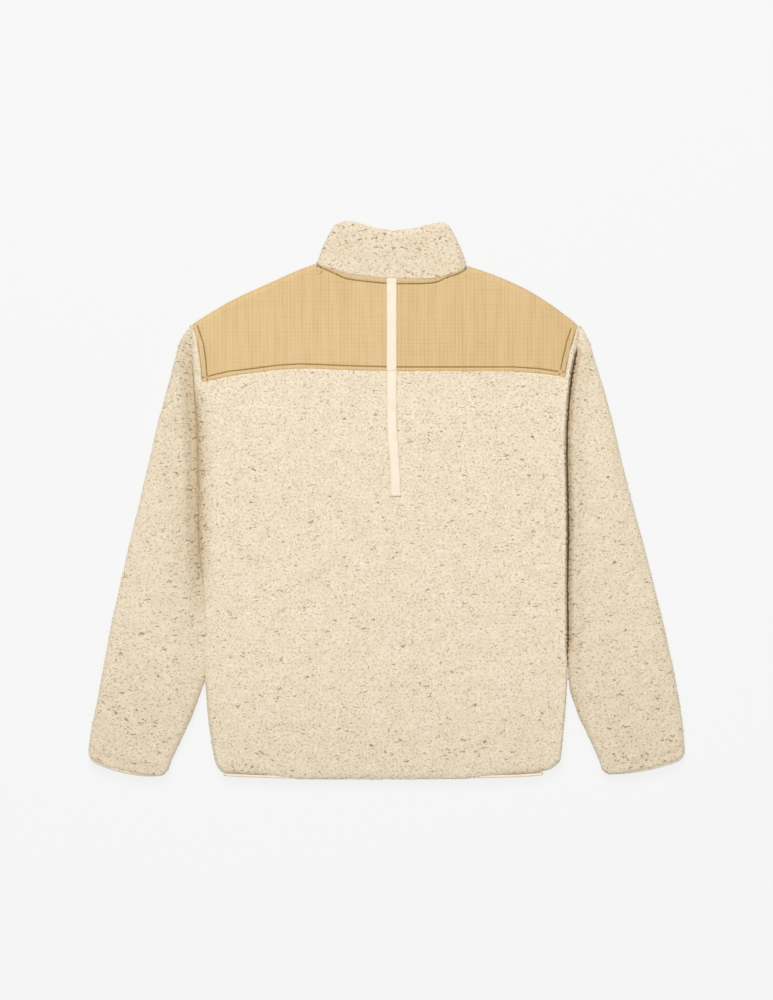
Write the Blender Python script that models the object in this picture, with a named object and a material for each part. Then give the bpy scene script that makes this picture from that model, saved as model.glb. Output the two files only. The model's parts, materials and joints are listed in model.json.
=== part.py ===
"""Sherpa zip jacket, laid out flat with its back up, zipped closed down the hidden front.

The jacket lies in the XY plane with its collar towards +Y and its back towards +Z. Every piece
of cloth is a wall between two skins: the skin that is seen, and the same points moved in. The
fronts lie on the ground, the back lies on the fronts, and each sleeve is one flat tube.
Tables are in millimetres, and the x = 0, y = 0 point is the middle of the outline.
"""

from math import cos, pi, radians, sin, sqrt

import bmesh
import bpy
from mathutils import Vector

MM = 0.001

# Cloth heights above the ground
WALL = 9.0                 # sherpa with its pile
GAP = 0.3                  # between two pieces at a seam
BACK_LOW = WALL + GAP      # underside of the upper layer
TOP = 2 * WALL + GAP       # pile surface of the upper layer
MID = TOP / 2
LOFT = 2.5                 # extra pile height away from the edges
PLAY = 0.4                 # between pressed sherpa and the yoke over it
SIDE_EDGE = (7.0, 8.0)     # drop and width of the rounded edge at the armholes
HEM_EDGE = (5.5, 9.0)
TIP_EDGE = (7.4, 8.7)
UNDER_EDGE = (5.0, 6.0)    # the same for the pile on the ground
YOKE_WALL = 2.5
YOKE_TOP = TOP - 1.0
YOKE_BED = YOKE_TOP - YOKE_WALL - PLAY   # sherpa pressed flat under the yoke
STRIP_RISE = 0.9           # turned edge of the yoke
GROOVE_DEPTH = 0.9         # sunk row of stitches beside it
WRAP = 30.0                # yoke carried over the shoulder onto the front
TAPE_WIDTH = 13.8
TAPE_WALL = 1.0
TAPE_END = 4.3             # y of the tape's sewn lower end
TAPE_X = 7.0
TAPE_LEAN = 5.4            # its lower end lies this far to the side
TAPE_OVER = 0.5            # above the cloth that it is sewn to
TAPE_STEPS = 9
NECK_DROP = 71.0           # front neckline below the shoulder point
CHANNEL = 9.0              # half the width of the zip's channel
BINDING = 3.5              # binding that shows below the pile
BINDING_INSET = 2.5        # its fold is this much flatter than the pile's
BINDING_WALL = 4.0
UNDERARM = -14.0           # y of the underarm

LEFT, RIGHT = -1, 1

# Body edge from the shoulder tip to the hem corner, the fold beside the armhole included
SIDE_ROWS = (
    # y, left x, right x
    (236.7, -267.4, 262.4),
    (206.7, -264.0, 259.3),
    (171.2, -260.7, 252.3),
    (111.2, -256.6, 246.4),
    (73.0, -254.5, 245.0),
    (-30.7, -254.5, 247.4),
    (-109.8, -250.4, 246.3),
    (-182.2, -244.8, 247.0),
    (-254.5, -246.6, 246.1),
    (-302.2, -242.6, 241.9),
    (-341.8, -237.6, 239.9),
    (-363.0, -231.4, 233.4),
)
# Sherpa that shows between the yoke's side and the body edge
MARGIN_ROWS = (
    # y, width
    (238.0, 2.0),
    (223.1, 5.8),
    (206.7, 8.9),
    (190.3, 9.4),
    (165.8, 9.4),
)
# Fold of the shoulders, shoulder tip to neck point and neck point to shoulder tip
SHOULDER_ROWS = (
    # x, y
    (-267.4, 236.7),
    (-225.8, 265.2),
    (-167.2, 291.4),
    (-124.9, 311.0),
    (-94.8, 322.2),
    (109.8, 318.6),
    (135.8, 310.8),
    (179.4, 292.7),
    (227.2, 266.6),
    (262.4, 235.8),
)
# Back neckline, where the collar is sewn on
NECK_ROWS = (
    # x, y
    (-94.8, 322.2),
    (-74.4, 313.8),
    (-53.9, 307.7),
    (-21.1, 303.6),
    (7.5, 301.0),
    (47.1, 301.0),
    (77.1, 303.6),
    (96.2, 311.0),
    (109.8, 318.6),
)
YOKE_HEM_ROWS = (
    # x, y
    (-250.4, 159.0),
    (-219.0, 167.2),
    (-180.8, 171.9),
    (-123.5, 178.1),
    (-47.1, 175.6),
    (29.3, 174.0),
    (182.2, 174.0),
    (220.4, 169.9),
    (243.6, 165.8),
)
# Lower outline of the body, binding included
HEM_ROWS = (
    # x, y
    (-231.0, -365.0),
    (-228.0, -371.5),
    (-222.0, -376.0),
    (-172.6, -378.4),
    (-118.0, -380.0),
    (18.0, -380.3),
    (128.0, -379.0),
    (182.0, -377.6),
    (213.5, -375.0),
    (224.5, -371.0),
    (232.6, -363.0),
)
# Outer fold of the sleeves
SLEEVE_ROWS = (
    # y, left x, right x
    (236.7, -267.4, 262.6),
    (224.5, -276.6, 272.2),
    (210.8, -283.1, 277.9),
    (194.4, -286.8, 281.9),
    (169.9, -292.7, 290.0),
    (142.6, -300.9, 298.1),
    (101.7, -311.8, 309.1),
    (47.1, -324.1, 321.3),
    (-62.1, -350.0, 350.0),
    (-171.2, -374.6, 377.3),
    (-277.7, -394.2, 399.1),
    (-321.3, -403.2, 404.6),
    (-346.0, -406.0, 405.9),
)
# Inner fold of the sleeves below the point where they part from the body
SLEEVE_PART_Y = -250.0
INNER_ROWS = (
    # y, left x, right x
    (-250.0, -247.2, 246.0),
    (-277.7, -257.0, 253.2),
    (-305.0, -267.6, 265.0),
    (-332.4, -281.0, 278.6),
    (-366.0, -297.0, 293.0),
)
CUFF_BULGE_ROWS = (
    # share of the way from the outer fold to the inner one, drop below a straight line
    (0.0, 0.0),
    (0.06, 9.0),
    (0.2, 13.0),
    (0.5, 16.0),
    (0.8, 14.5),
    (0.94, 10.0),
    (1.0, 0.0),
)
CUFF_DEPTH = {LEFT: 1.1, RIGHT: 0.86}
COLLAR_TOP_ROWS = (
    # x, y
    (-71.6, 373.5),
    (-53.9, 379.6),
    (-37.5, 377.3),
    (-21.1, 370.8),
    (11.6, 365.9),
    (44.3, 370.5),
    (60.7, 375.6),
    (74.4, 377.8),
    (86.6, 372.5),
)
COLLAR_FRONT_TOP = 311.0   # top of the collar at the zip

# Zip
ZIP_X = ((-380.0, -2.0), (311.0, 7.6))   # y, x of the zip's line at the hem and at the top
ZIP_TAPE_IN = 1.2
ZIP_TAPE_LOW = 5.4
ZIP_TAPE_WALL = 1.4
SLIDER_Y = 296.0
PIVOT_Z = 2.85             # axis of the pull tab
PLATE_LOW = 3.9
PLATE_HIGH = 4.9
INNER_PLATE_LOW = 7.5
FUSED = 0.3                # overlap of the slider's blocks
TAB_LENGTH = 28.0
TAB_WALL = 1.2


def smooth_table(rows, at, column=1):
    """Smooth value of one column of a table at a key in its first column."""
    keys = [row[0] for row in rows]
    values = [row[column] for row in rows]
    if keys[0] > keys[-1]:
        keys.reverse()
        values.reverse()
    if at <= keys[0]:
        return values[0]
    if at >= keys[-1]:
        return values[-1]
    k = max(i for i in range(len(keys) - 1) if keys[i] <= at)
    span = keys[k + 1] - keys[k]
    rise = (values[k + 1] - values[k]) / span

    def slope(i, fallback):
        if i <= 0 or i >= len(keys) - 1:
            return fallback
        before = (values[i] - values[i - 1]) / (keys[i] - keys[i - 1])
        after = (values[i + 1] - values[i]) / (keys[i + 1] - keys[i])
        if before * after <= 0:
            return 0.0
        return 2 * before * after / (before + after)

    t = (at - keys[k]) / span
    start, end = slope(k, rise), slope(k + 1, rise)
    return ((2 * t**3 - 3 * t**2 + 1) * values[k] + (t**3 - 2 * t**2 + t) * span * start
            + (3 * t**2 - 2 * t**3) * values[k + 1] + (t**3 - t**2) * span * end)


def mix(a, b, share):
    return a + (b - a) * share


def fade(low, high, value):
    """0 below low, 1 above high and a soft step between them."""
    t = min(max((value - low) / (high - low), 0.0), 1.0)
    return t * t * (3 - 2 * t)


def edge_drop(distance, depth, width):
    """Fall of a rounded edge at a distance inside it."""
    if distance >= width:
        return 0.0
    t = 1 - max(distance, 0.0) / width
    return depth * (1 - sqrt(1 - t * t))


def side_x(side, y):
    return smooth_table(SIDE_ROWS, y, 1 if side == LEFT else 2)


def margin(y):
    return smooth_table(MARGIN_ROWS, y)


def shoulder_y(x):
    return smooth_table(SHOULDER_ROWS, x)


def neck_y(x):
    return smooth_table(NECK_ROWS, x)


def yoke_hem_y(x):
    return smooth_table(YOKE_HEM_ROWS, x)


def hem_y(x):
    return smooth_table(HEM_ROWS, x)


def zip_x(y):
    (low_y, low_x), (high_y, high_x) = ZIP_X
    return mix(low_x, high_x, (y - low_y) / (high_y - low_y))


NECK_LEFT = NECK_ROWS[0][0]
NECK_RIGHT = NECK_ROWS[-1][0]
NECK_POINT_Y = NECK_ROWS[0][1]
NECK_MID = (NECK_LEFT + NECK_RIGHT) / 2
NECK_HALF = (NECK_RIGHT - NECK_LEFT) / 2


def front_neck_y(x):
    share = min(abs(x - NECK_MID) / NECK_HALF, 1.0)
    point_y = NECK_POINT_Y if x < NECK_MID else NECK_ROWS[-1][1]
    return point_y - NECK_DROP * (1 - share**2)


def in_neck(x):
    return NECK_LEFT < x < NECK_RIGHT


def loft(x, y):
    """Pile and air that stand higher in the middle of the cloth, in soft uneven swells."""
    body = fade(150, 60, y) * fade(-372, -300, y) * fade(250, 170, abs(x + 2))
    swell = 0.62 + 0.22 * sin(x / 61 + 0.6) * cos(y / 83) + 0.16 * cos(x / 37 - y / 118)
    return LOFT * body * swell


def paint(name, colour, roughness, metallic=0.0):
    material = bpy.data.materials.new(name)
    material.use_nodes = True
    shader = material.node_tree.nodes["Principled BSDF"]
    shader.inputs["Base Color"].default_value = (*colour, 1)
    shader.inputs["Roughness"].default_value = roughness
    shader.inputs["Metallic"].default_value = metallic
    material.diffuse_color = (*colour, 1)
    return material


def finish(bm, name, material):
    """Make a named object on the jacket's parent from a mesh in millimetres."""
    bmesh.ops.recalc_face_normals(bm, faces=bm.faces[:])
    bmesh.ops.scale(bm, vec=Vector((MM, MM, MM)), verts=bm.verts[:])
    mesh = bpy.data.meshes.new(name)
    bm.to_mesh(mesh)
    bm.free()
    mesh.materials.append(material)
    mesh.shade_smooth()
    mesh.set_sharp_from_angle(angle=radians(40))
    piece = bpy.data.objects.new(name, mesh)
    bpy.context.collection.objects.link(piece)
    piece.parent = jacket
    return piece


def wall(name, material, outer, inner, ring=False, left_out=lambda row, column: False):
    """One closed wall between two skins, each a list of rows of points.

    A ring joins the last column to the first. left_out drops cells of the sheet before it gets
    its thickness.
    """
    rows, columns = len(outer), len(outer[0])
    cells_across = columns if ring else columns - 1
    bm = bmesh.new()
    bmesh.ops.create_grid(bm, x_segments=cells_across, y_segments=rows - 1, size=1.0)
    row_of = bm.verts.layers.int.new("row")
    column_of = bm.verts.layers.int.new("column")
    for vert in bm.verts:
        vert[row_of] = round((vert.co.y + 1) / 2 * (rows - 1))
        vert[column_of] = round((vert.co.x + 1) / 2 * cells_across)
    dropped = [face for face in bm.faces
               if left_out(min(v[row_of] for v in face.verts), min(v[column_of] for v in face.verts))]
    bmesh.ops.delete(bm, geom=dropped, context="FACES")

    def place(verts, skin):
        for vert in verts:
            vert.co = Vector(skin[vert[row_of]][vert[column_of] % columns])

    place(bm.verts, outer)
    if ring:
        bmesh.ops.remove_doubles(bm, verts=bm.verts[:], dist=1e-4)
    moved = bmesh.ops.extrude_face_region(bm, geom=bm.faces[:])["geom"]
    place([item for item in moved if isinstance(item, bmesh.types.BMVert)], inner)
    return finish(bm, name, material)


def block(name, material, low, high):
    """A plain block between two corners."""
    bm = bmesh.new()
    bmesh.ops.create_cube(bm, size=1.0)
    for vert in bm.verts:
        vert.co = Vector(high[i] if vert.co[i] > 0 else low[i] for i in range(3))
    return finish(bm, name, material)


def fused(base, name, low, high):
    """Add a block to a piece by a Boolean union."""
    cutter = block(name, base.data.materials[0], low, high)
    cutter.hide_render = True
    cutter.display_type = "WIRE"
    union = base.modifiers.new(name, "BOOLEAN")
    union.operation = "UNION"
    union.solver = "EXACT"
    union.object = cutter


def skins(rows, columns, point):
    """Two skins from a function that gives the outer and inner point of each row and column."""
    pairs = [[point(row, column) for column in columns] for row in rows]
    return ([[pair[0] for pair in line] for line in pairs],
            [[pair[1] for pair in line] for line in pairs])


for leftover in list(bpy.data.objects):
    bpy.data.objects.remove(leftover)
jacket = bpy.data.objects.new("jacket", None)
jacket.location = Vector((0.05, 0.35, 0.0)) * MM    # brings the middle of the outline to zero
bpy.context.collection.objects.link(jacket)

SHERPA = paint("sherpa", (0.84, 0.73, 0.55), 0.95)
RIPSTOP = paint("ripstop", (0.72, 0.54, 0.29), 0.7)
TAPE = paint("tape", (0.97, 0.87, 0.72), 0.75)
BINDING_CLOTH = paint("binding", (0.95, 0.87, 0.74), 0.8)
METAL = paint("zip metal", (0.62, 0.58, 0.5), 0.35, 1.0)

# Places across the body: (kind, amount). An edge is a share of the margin, an x is fixed.
EDGE_SHARES = (0.0, 0.16, 0.45, 0.8, 1.0)
BODY_X = (-212, -180, -148, -118, NECK_LEFT, -78, -58, -36, -14, 7.5, 30, 54, 78, 94,
          NECK_RIGHT, 140, 172, 206)
BACK_COLUMNS = ([("left", share) for share in EDGE_SHARES] + [("x", x) for x in BODY_X]
                + [("right", share) for share in reversed(EDGE_SHARES)])
# Rows of a panel: (kind, amount). A top, yoke or hem row is a distance from that edge.
LOWER_ROWS = 12
BACK_ROWS = ([("top", d) for d in (0.0, 1.8, 5.3, TIP_EDGE[1])]
             + [("upper", share) for share in (0.3, 0.6, 1.0)]
             + [("lower", share / LOWER_ROWS) for share in range(LOWER_ROWS)]
             + [("hem", d) for d in (HEM_EDGE[1], 5.0, 1.6, 0.0)])
SEAM_STEP = 1.4            # slope of the pile down to the yoke's lower edge
YOKE_RADIUS = YOKE_TOP / 2
BED_RADIUS = YOKE_RADIUS - YOKE_WALL - 0.65   # sherpa edge inside the yoke's fold
SHOULDER_INSET = YOKE_WALL + 0.85
LEFT_START, RIGHT_START = -255.0, 250.0       # first guesses for x at the sides
PANEL_HEM = BINDING + 0.5


def panel_y(kind, amount, x, top_y):
    """Height of one row of a panel at x, where top_y gives the panel's upper edge."""
    if kind == "top":
        return top_y(x) - amount
    if kind == "upper":
        return mix(top_y(x) - TIP_EDGE[1], yoke_hem_y(x) - PLAY, amount)
    if kind == "lower":
        return mix(yoke_hem_y(x) - SEAM_STEP, hem_y(x) + PANEL_HEM + HEM_EDGE[1], amount)
    return hem_y(x) + PANEL_HEM + amount


def panel_place(row, column, top_y):
    """x and y of a grid point, settled in a few rounds because x and y hang on each other."""
    kind, amount = column
    x = {"left": LEFT_START, "right": RIGHT_START}.get(kind, amount)
    for _ in range(4):
        y = panel_y(*row, x, top_y)
        if kind == "left":
            x = side_x(LEFT, y) + amount * (margin(y) - PLAY)
        elif kind == "right":
            x = side_x(RIGHT, y) - amount * (margin(y) - PLAY)
        elif kind == "zip left":
            x = zip_x(y) - CHANNEL - amount
        elif kind == "zip right":
            x = zip_x(y) + CHANNEL + amount
    return x, y


def from_side(column, y):
    """Distance of a column from the body's side edge."""
    kind, amount = column
    return amount * margin(y) if kind in ("left", "right") else 1000.0


def back_top_y(x):
    return neck_y(x) - GAP if in_neck(x) else shoulder_y(x) - SHOULDER_INSET


def bed_rise(distance):
    """Half thickness of the sherpa inside the yoke's fold, at a distance from its edge."""
    offset = max(YOKE_RADIUS - SHOULDER_INSET - distance, 0.0)
    return sqrt(BED_RADIUS**2 - offset**2)


def back_point(row, column):
    x, y = panel_place(row, column, back_top_y)
    under_yoke = row[0] in ("top", "upper") and (column[0] == "x" or column[1] == 1.0)
    high = YOKE_BED if under_yoke else TOP + loft(x, y)
    drop = edge_drop(from_side(column, y), *SIDE_EDGE)
    if row[0] == "hem":
        drop = max(drop, edge_drop(row[1], *HEM_EDGE))
    if row[0] == "top" and not in_neck(x):
        drop = max(drop, high - YOKE_RADIUS - bed_rise(row[1]) if under_yoke
                   else edge_drop(row[1], *TIP_EDGE))
    return (x, y, high - drop), (x, y, BACK_LOW)


def make_back():
    outer, inner = skins(BACK_ROWS, BACK_COLUMNS, back_point)
    wall("back_body", SHERPA, outer, inner)


YOKE_EDGE = (0.0, 0.9, 5.6, 6.9, 8.8)       # turned edge, groove and flat cloth
STRIP_END, GROOVE_END = 6.0, 7.0
YOKE_COLUMNS = ([("left", d) for d in YOKE_EDGE] + [("x", x) for x in BODY_X]
                + [("right", d) for d in reversed(YOKE_EDGE)])
ARC = (60, 30, 0, -30, -60, -90)
YOKE_ROWS = ([("yoke hem", d) for d in YOKE_EDGE] + [("between", s) for s in (0.35, 0.7)]
             + [("neck", d) for d in reversed(YOKE_EDGE)] + [("arc", a) for a in ARC]
             + [("under", d) for d in (12.0, 21.0, WRAP)])
YOKE_WRAP_START = len(YOKE_EDGE) + 2 + len(YOKE_EDGE) - 1


def edge_relief(distance):
    """Height of the turned edge and its groove at a distance from the yoke's edge."""
    if distance <= 0.01:
        return 0.0
    if distance < STRIP_END:
        return STRIP_RISE
    return -GROOVE_DEPTH if distance < GROOVE_END else 0.0


def yoke_y(kind, amount, x):
    fold = neck_y(x) if in_neck(x) else shoulder_y(x) - YOKE_RADIUS
    if kind == "yoke hem":
        return yoke_hem_y(x) + amount
    if kind == "between":
        return mix(yoke_hem_y(x) + YOKE_EDGE[-1], fold - YOKE_EDGE[-1], amount)
    if kind == "neck":
        return fold - amount
    if kind == "arc":
        return fold + YOKE_RADIUS * cos(radians(amount))
    return fold - amount + YOKE_RADIUS


def yoke_point(row, column):
    kind, amount = column
    x = {"left": LEFT_START, "right": RIGHT_START}.get(kind, amount)
    for _ in range(4):
        y = yoke_y(*row, x)
        if kind == "left":
            x = side_x(LEFT, y) + margin(y) + amount
        elif kind == "right":
            x = side_x(RIGHT, y) - margin(y) - amount
    if row[0] == "arc":
        angle = radians(row[1])
        inner_radius = YOKE_RADIUS - YOKE_WALL
        centre_y = y - YOKE_RADIUS * cos(angle)
        return ((x, y, YOKE_RADIUS * (1 + sin(angle))),
                (x, centre_y + inner_radius * cos(angle), YOKE_RADIUS + inner_radius * sin(angle)))
    if row[0] == "under":
        return (x, y, 0.0), (x, y, YOKE_WALL)
    relief = edge_relief(amount) if kind != "x" else 0.0
    if row[0] == "yoke hem" or (row[0] == "neck" and in_neck(x)):
        across = edge_relief(row[1])
        if relief < 0:
            relief = min(relief, across)
        elif relief == 0:
            relief = across
    return (x, y, YOKE_TOP + relief), (x, y, YOKE_TOP - YOKE_WALL)


def make_yoke():
    outer, inner = skins(YOKE_ROWS, YOKE_COLUMNS, yoke_point)
    first = YOKE_COLUMNS.index(("x", NECK_LEFT))
    last = YOKE_COLUMNS.index(("x", NECK_RIGHT))
    wall("back_yoke", RIPSTOP, outer, inner,
         left_out=lambda row, column: row >= YOKE_WRAP_START and first <= column < last)


def make_back_tape():
    """The tape follows the yoke and the pile under it, from the collar to its sewn end."""
    seam = yoke_hem_y(NECK_MID)
    neck = neck_y(NECK_MID)
    rows = [(neck - GAP - d, YOKE_TOP + (STRIP_RISE if d < STRIP_END else 0.0)) for d in YOKE_EDGE]
    rows += [(seam + d, YOKE_TOP + max(edge_relief(d), 0.0)) for d in reversed(YOKE_EDGE)]
    for step in range(TAPE_STEPS + 1):
        y = mix(seam - SEAM_STEP, TAPE_END, step / TAPE_STEPS)
        rows.append((y, TOP + loft(10.0, y)))

    def point(row, column):
        y, below = row
        x = TAPE_X + TAPE_LEAN * fade(120, 10, y) + column
        low = below + TAPE_OVER
        return (x, y, low + TAPE_WALL), (x, y, low)

    outer, inner = skins(rows, (-TAPE_WIDTH / 2, 0.0, TAPE_WIDTH / 2), point)
    wall("back_tape", TAPE, outer, inner)


NECK_STEPS = (84, 66, 47, 28)    # places along the front neckline, from its middle
BED_SLOPE = (0.0, 1.2, 3.0)      # where the pile rises from the yoke's bed beside a neck point
BED_END = 1.3
FRONT_HEM_EDGE = (4.0, 6.0)
ZIP_EDGE = (2.0, 4.0)
FRONT_STEPS = 11
FRONT_TOP_ROWS = (0.0, 1.8, 5.3, WRAP - SHOULDER_INSET + PLAY, WRAP - SHOULDER_INSET + SEAM_STEP)
FRONT_ROWS = ([("top", d) for d in FRONT_TOP_ROWS]
              + [("front", share / FRONT_STEPS) for share in range(1, FRONT_STEPS)]
              + [("hem", d) for d in (FRONT_HEM_EDGE[1], 2.5, 0.0)])


def front_top_y(x):
    return front_neck_y(x) - PLAY if in_neck(x) else shoulder_y(x) - SHOULDER_INSET


def make_front(side):
    """A front panel, its pile on the ground, pressed thin where the yoke is carried over it."""
    if side == LEFT:
        neck_x = tuple(NECK_LEFT + d for d in BED_SLOPE) + tuple(NECK_MID - d for d in NECK_STEPS)
        columns = ([("left", share) for share in (0.0, 0.3, 0.65, 1.0)]
                   + [("x", x) for x in (-212, -172, -134) + neck_x]
                   + [("zip left", d) for d in (ZIP_EDGE[1], 0.0)])
        bed_end = NECK_LEFT + BED_END
    else:
        neck_x = tuple(NECK_MID + d for d in reversed(NECK_STEPS))
        neck_x += tuple(NECK_RIGHT - d for d in reversed(BED_SLOPE))
        columns = ([("zip right", d) for d in (0.0, ZIP_EDGE[1])]
                   + [("x", x) for x in neck_x + (146, 178, 206)]
                   + [("right", share) for share in (1.0, 0.65, 0.3, 0.0)])
        bed_end = NECK_RIGHT - BED_END

    def point(row, column):
        if row[0] == "front":
            x, y = panel_place(("top", 0.0), column, front_top_y)
            for _ in range(3):
                low_y = hem_y(x) + PANEL_HEM + FRONT_HEM_EDGE[1]
                y = mix(front_top_y(x) - FRONT_TOP_ROWS[-1], low_y, row[1])
                if column[0] in ("left", "right"):
                    inset = column[1] * (margin(y) - PLAY)
                    x = side_x(side, y) - side * inset
                elif column[0] != "x":
                    x = zip_x(y) + side * (CHANNEL + column[1])
        else:
            x, y = panel_place(row, column, front_top_y)
        in_bed = (x - bed_end) * side >= 0
        pressed = row[0] == "top" and row[1] < FRONT_TOP_ROWS[-1] and in_bed
        low = YOKE_WALL + GAP if pressed else 0.0
        rise = edge_drop(from_side(column, y), *UNDER_EDGE)
        if row[0] == "hem":
            rise = max(rise, edge_drop(row[1], *FRONT_HEM_EDGE))
        if row[0] == "top" and in_bed:
            rise = max(rise, YOKE_RADIUS - bed_rise(row[1]) - low)
        if column[0] in ("zip left", "zip right"):
            rise = max(rise, edge_drop(column[1], *ZIP_EDGE))
        return (x, y, low + rise), (x, y, WALL)

    outer, inner = skins(FRONT_ROWS, columns, point)
    wall("front_left" if side == LEFT else "front_right", SHERPA, outer, inner)


SLEEVE_STATIONS = (0.0, 0.015, 0.04, 0.08, 0.14, 0.22, 0.31, 0.4, 0.5, 0.6, 0.7, 0.8, 0.88, 0.94,
                   0.972, 0.984, 0.9895)
CUFF_STATIONS = (0.9915, 1.0)
FOLD_ANGLES = (0, 30, 60, 90)
ACROSS = (0.12, 0.26, 0.42, 0.58, 0.76)
ARMHOLE_GAP = 0.8
FOLD_STEP = 0.9                  # the inner skin's columns lie this far apart at a fold
SLEEVE_EDGE = {LEFT: (7.4, 9.0), RIGHT: (7.0, 6.0)}
CUFF_SQUEEZE = 0.45              # the pile is pressed flatter at the cuff
# Slope of the left sleeve towards the fold beside the armhole
TROUGH_DEPTH = 6.0
TROUGH_WIDTH = 27.0


def sleeve_outline(side, station):
    """Outer and inner fold points of a sleeve at a station from the armhole to the cuff."""
    outer_y = mix(SLEEVE_ROWS[0][0], SLEEVE_ROWS[-1][0], station)
    inner_y = mix(UNDERARM, INNER_ROWS[-1][0], station)
    column = 1 if side == LEFT else 2
    outer = Vector((smooth_table(SLEEVE_ROWS, outer_y, column) + side * ARMHOLE_GAP, outer_y))
    if inner_y > SLEEVE_PART_Y:
        inner = Vector((side_x(side, inner_y) + side * ARMHOLE_GAP, inner_y))
    else:
        inner = Vector((smooth_table(INNER_ROWS, inner_y, column) + side * ARMHOLE_GAP, inner_y))
    return outer, inner


def sleeve_plan(side, station, share):
    """Point of a sleeve in plan, from the outer fold at share 0 to the inner fold at 1."""
    outer, inner = sleeve_outline(side, station)
    spot = outer.lerp(inner, share)
    first_outer, first_inner = sleeve_outline(side, 0.0)
    armhole_y = mix(first_outer.y, first_inner.y, share)
    armhole_x = side_x(side, armhole_y) + side * ARMHOLE_GAP
    bow = armhole_x - mix(first_outer.x, first_inner.x, share)
    spot.x += bow * (1 - station)**2
    depth = CUFF_DEPTH[side]
    spot.y -= depth * smooth_table(CUFF_BULGE_ROWS, share) * station**16
    return spot


def fold_scale(side, station, share):
    """Length along a station for one millimetre square to the fold at that end."""
    outer, inner = sleeve_outline(side, station)
    across = (inner - outer)
    before = sleeve_outline(side, max(station - 0.01, 0.0))
    after = sleeve_outline(side, min(station + 0.01, 1.0))
    end = 0 if share == 0 else 1
    along = (after[end] - before[end]).normalized()
    square = abs(across.normalized().cross(along))
    return 1 / (max(square, 0.4) * across.length)


def fold_profile(radius, wall_thickness, inner_height):
    """Points of the quarter round of a fold, each one an outer and an inner one.

    A point is a distance in from the fold and a height above the middle of the tube.
    """
    points = []
    for k, angle in enumerate(FOLD_ANGLES):
        a = radians(angle)
        points.append(((radius * (1 - cos(a)), radius * sin(a)),
                       (wall_thickness + FOLD_STEP * k, inner_height * min(k, 1))))
    return points


def sleeve_ring(side, station, radius, wall_thickness, squeeze):
    """Outer and inner points round one station of a sleeve, upper layer first."""
    outer, inner = [], []
    profile = fold_profile(radius, wall_thickness, GAP / 2)
    scale = [fold_scale(side, station, 0), fold_scale(side, station, 1)]
    half = [(("end", 0), p) for p in profile] + [(("mid", s), None) for s in ACROSS]
    half += [(("end", 1), p) for p in reversed(profile)]

    def add(layer, place, pair):
        kind, amount = place
        if kind == "mid":
            shares = (amount, amount)
            heights = (radius, GAP / 2)
        else:
            shares = tuple(d[0] * scale[amount] for d in pair)
            heights = (pair[0][1], pair[1][1])
            if amount == 1:
                shares = tuple(1 - s for s in shares)
        skin_out = sleeve_plan(side, station, shares[0])
        skin_in = sleeve_plan(side, station, shares[1])
        from_body = abs(skin_out.x - side_x(side, skin_out.y))
        if skin_out.y < SLEEVE_PART_Y:
            from_body = 1000.0
        height = heights[0]
        if layer > 0:
            high = TOP
            if kind == "mid":
                high += LOFT * fade(0.0, 0.25, station) * fade(1.0, 0.8, station)
            drop = edge_drop(from_body, *SLEEVE_EDGE[side])
            if side == LEFT:
                depth = TROUGH_DEPTH * fade(-190, -60, skin_out.y) * fade(238, 196, skin_out.y)
                drop = max(drop, depth * (1 - fade(0.0, TROUGH_WIDTH, from_body)))
            top_z = MID + height + (high - TOP if kind == "mid" else 0)
            z = min(top_z, high - drop) if height > 0 else top_z
        else:
            z = max(MID - height, edge_drop(from_body, *UNDER_EDGE)) if height > 0 else MID
        z = MID + (z - MID) * squeeze
        outer.append((skin_out.x, skin_out.y, z))
        inner.append((skin_in.x, skin_in.y, MID + layer * heights[1]))

    for place, pair in half:
        add(1, place, pair)
    for place, pair in reversed(half[1:-1]):
        add(-1, place, pair)
    return outer, inner


def make_sleeve(side):
    word = "left" if side == LEFT else "right"
    rings = []
    for station in SLEEVE_STATIONS:
        squeeze = 1 - CUFF_SQUEEZE * fade(SLEEVE_STATIONS[-3], SLEEVE_STATIONS[-1], station)
        rings.append(sleeve_ring(side, station, MID, WALL, squeeze))
    wall("sleeve_" + word, SHERPA, [r[0] for r in rings], [r[1] for r in rings], ring=True)
    rings = [sleeve_ring(side, station, MID - BINDING_INSET, BINDING_WALL, 1.0)
             for station in CUFF_STATIONS]
    wall("cuff_binding_" + word, BINDING_CLOTH, [r[0] for r in rings], [r[1] for r in rings],
         ring=True)


def strip_columns(half_height, wall_thickness, upper_steps, lower_steps):
    """Columns of a flat tube that is open at the zip, from the zip round the back to the zip.

    Each column is (layer, side, share, (outer inset, outer height), (inner inset, inner height)).
    Layer -1 is the front and 1 the back. Side is 0 between the folds of the back. Share runs
    from the zip to a fold, or from the left fold to the right one.
    """
    flat = ((0.0, half_height), (0.0, half_height - wall_thickness))
    profile = fold_profile(half_height, wall_thickness, half_height - wall_thickness)
    columns = [(-1, LEFT, s, *flat) for s in lower_steps[LEFT]]
    columns += [(-1, LEFT, 1.0, *p) for p in reversed(profile)]
    columns += [(1, LEFT, 0.0, *p) for p in profile[1:]]
    columns += [(1, 0, s, *flat) for s in upper_steps]
    columns += [(1, RIGHT, 1.0, *p) for p in reversed(profile)]
    columns += [(-1, RIGHT, 1.0, *p) for p in profile[1:]]
    columns += [(-1, RIGHT, s, *flat) for s in reversed(lower_steps[RIGHT])]
    return columns


def strip_x(column, left_x, right_x, middle_x, skin):
    """x of a strip column between the folds at left_x and right_x and the zip at middle_x."""
    layer, side, share = column[:3]
    inset = column[3 + skin][0]
    if layer < 0 and share < 1:
        return mix(middle_x + side * CHANNEL, left_x if side == LEFT else right_x, share)
    if side == LEFT:
        return left_x + inset
    if side == RIGHT:
        return right_x - inset
    return mix(left_x, right_x, share)


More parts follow.
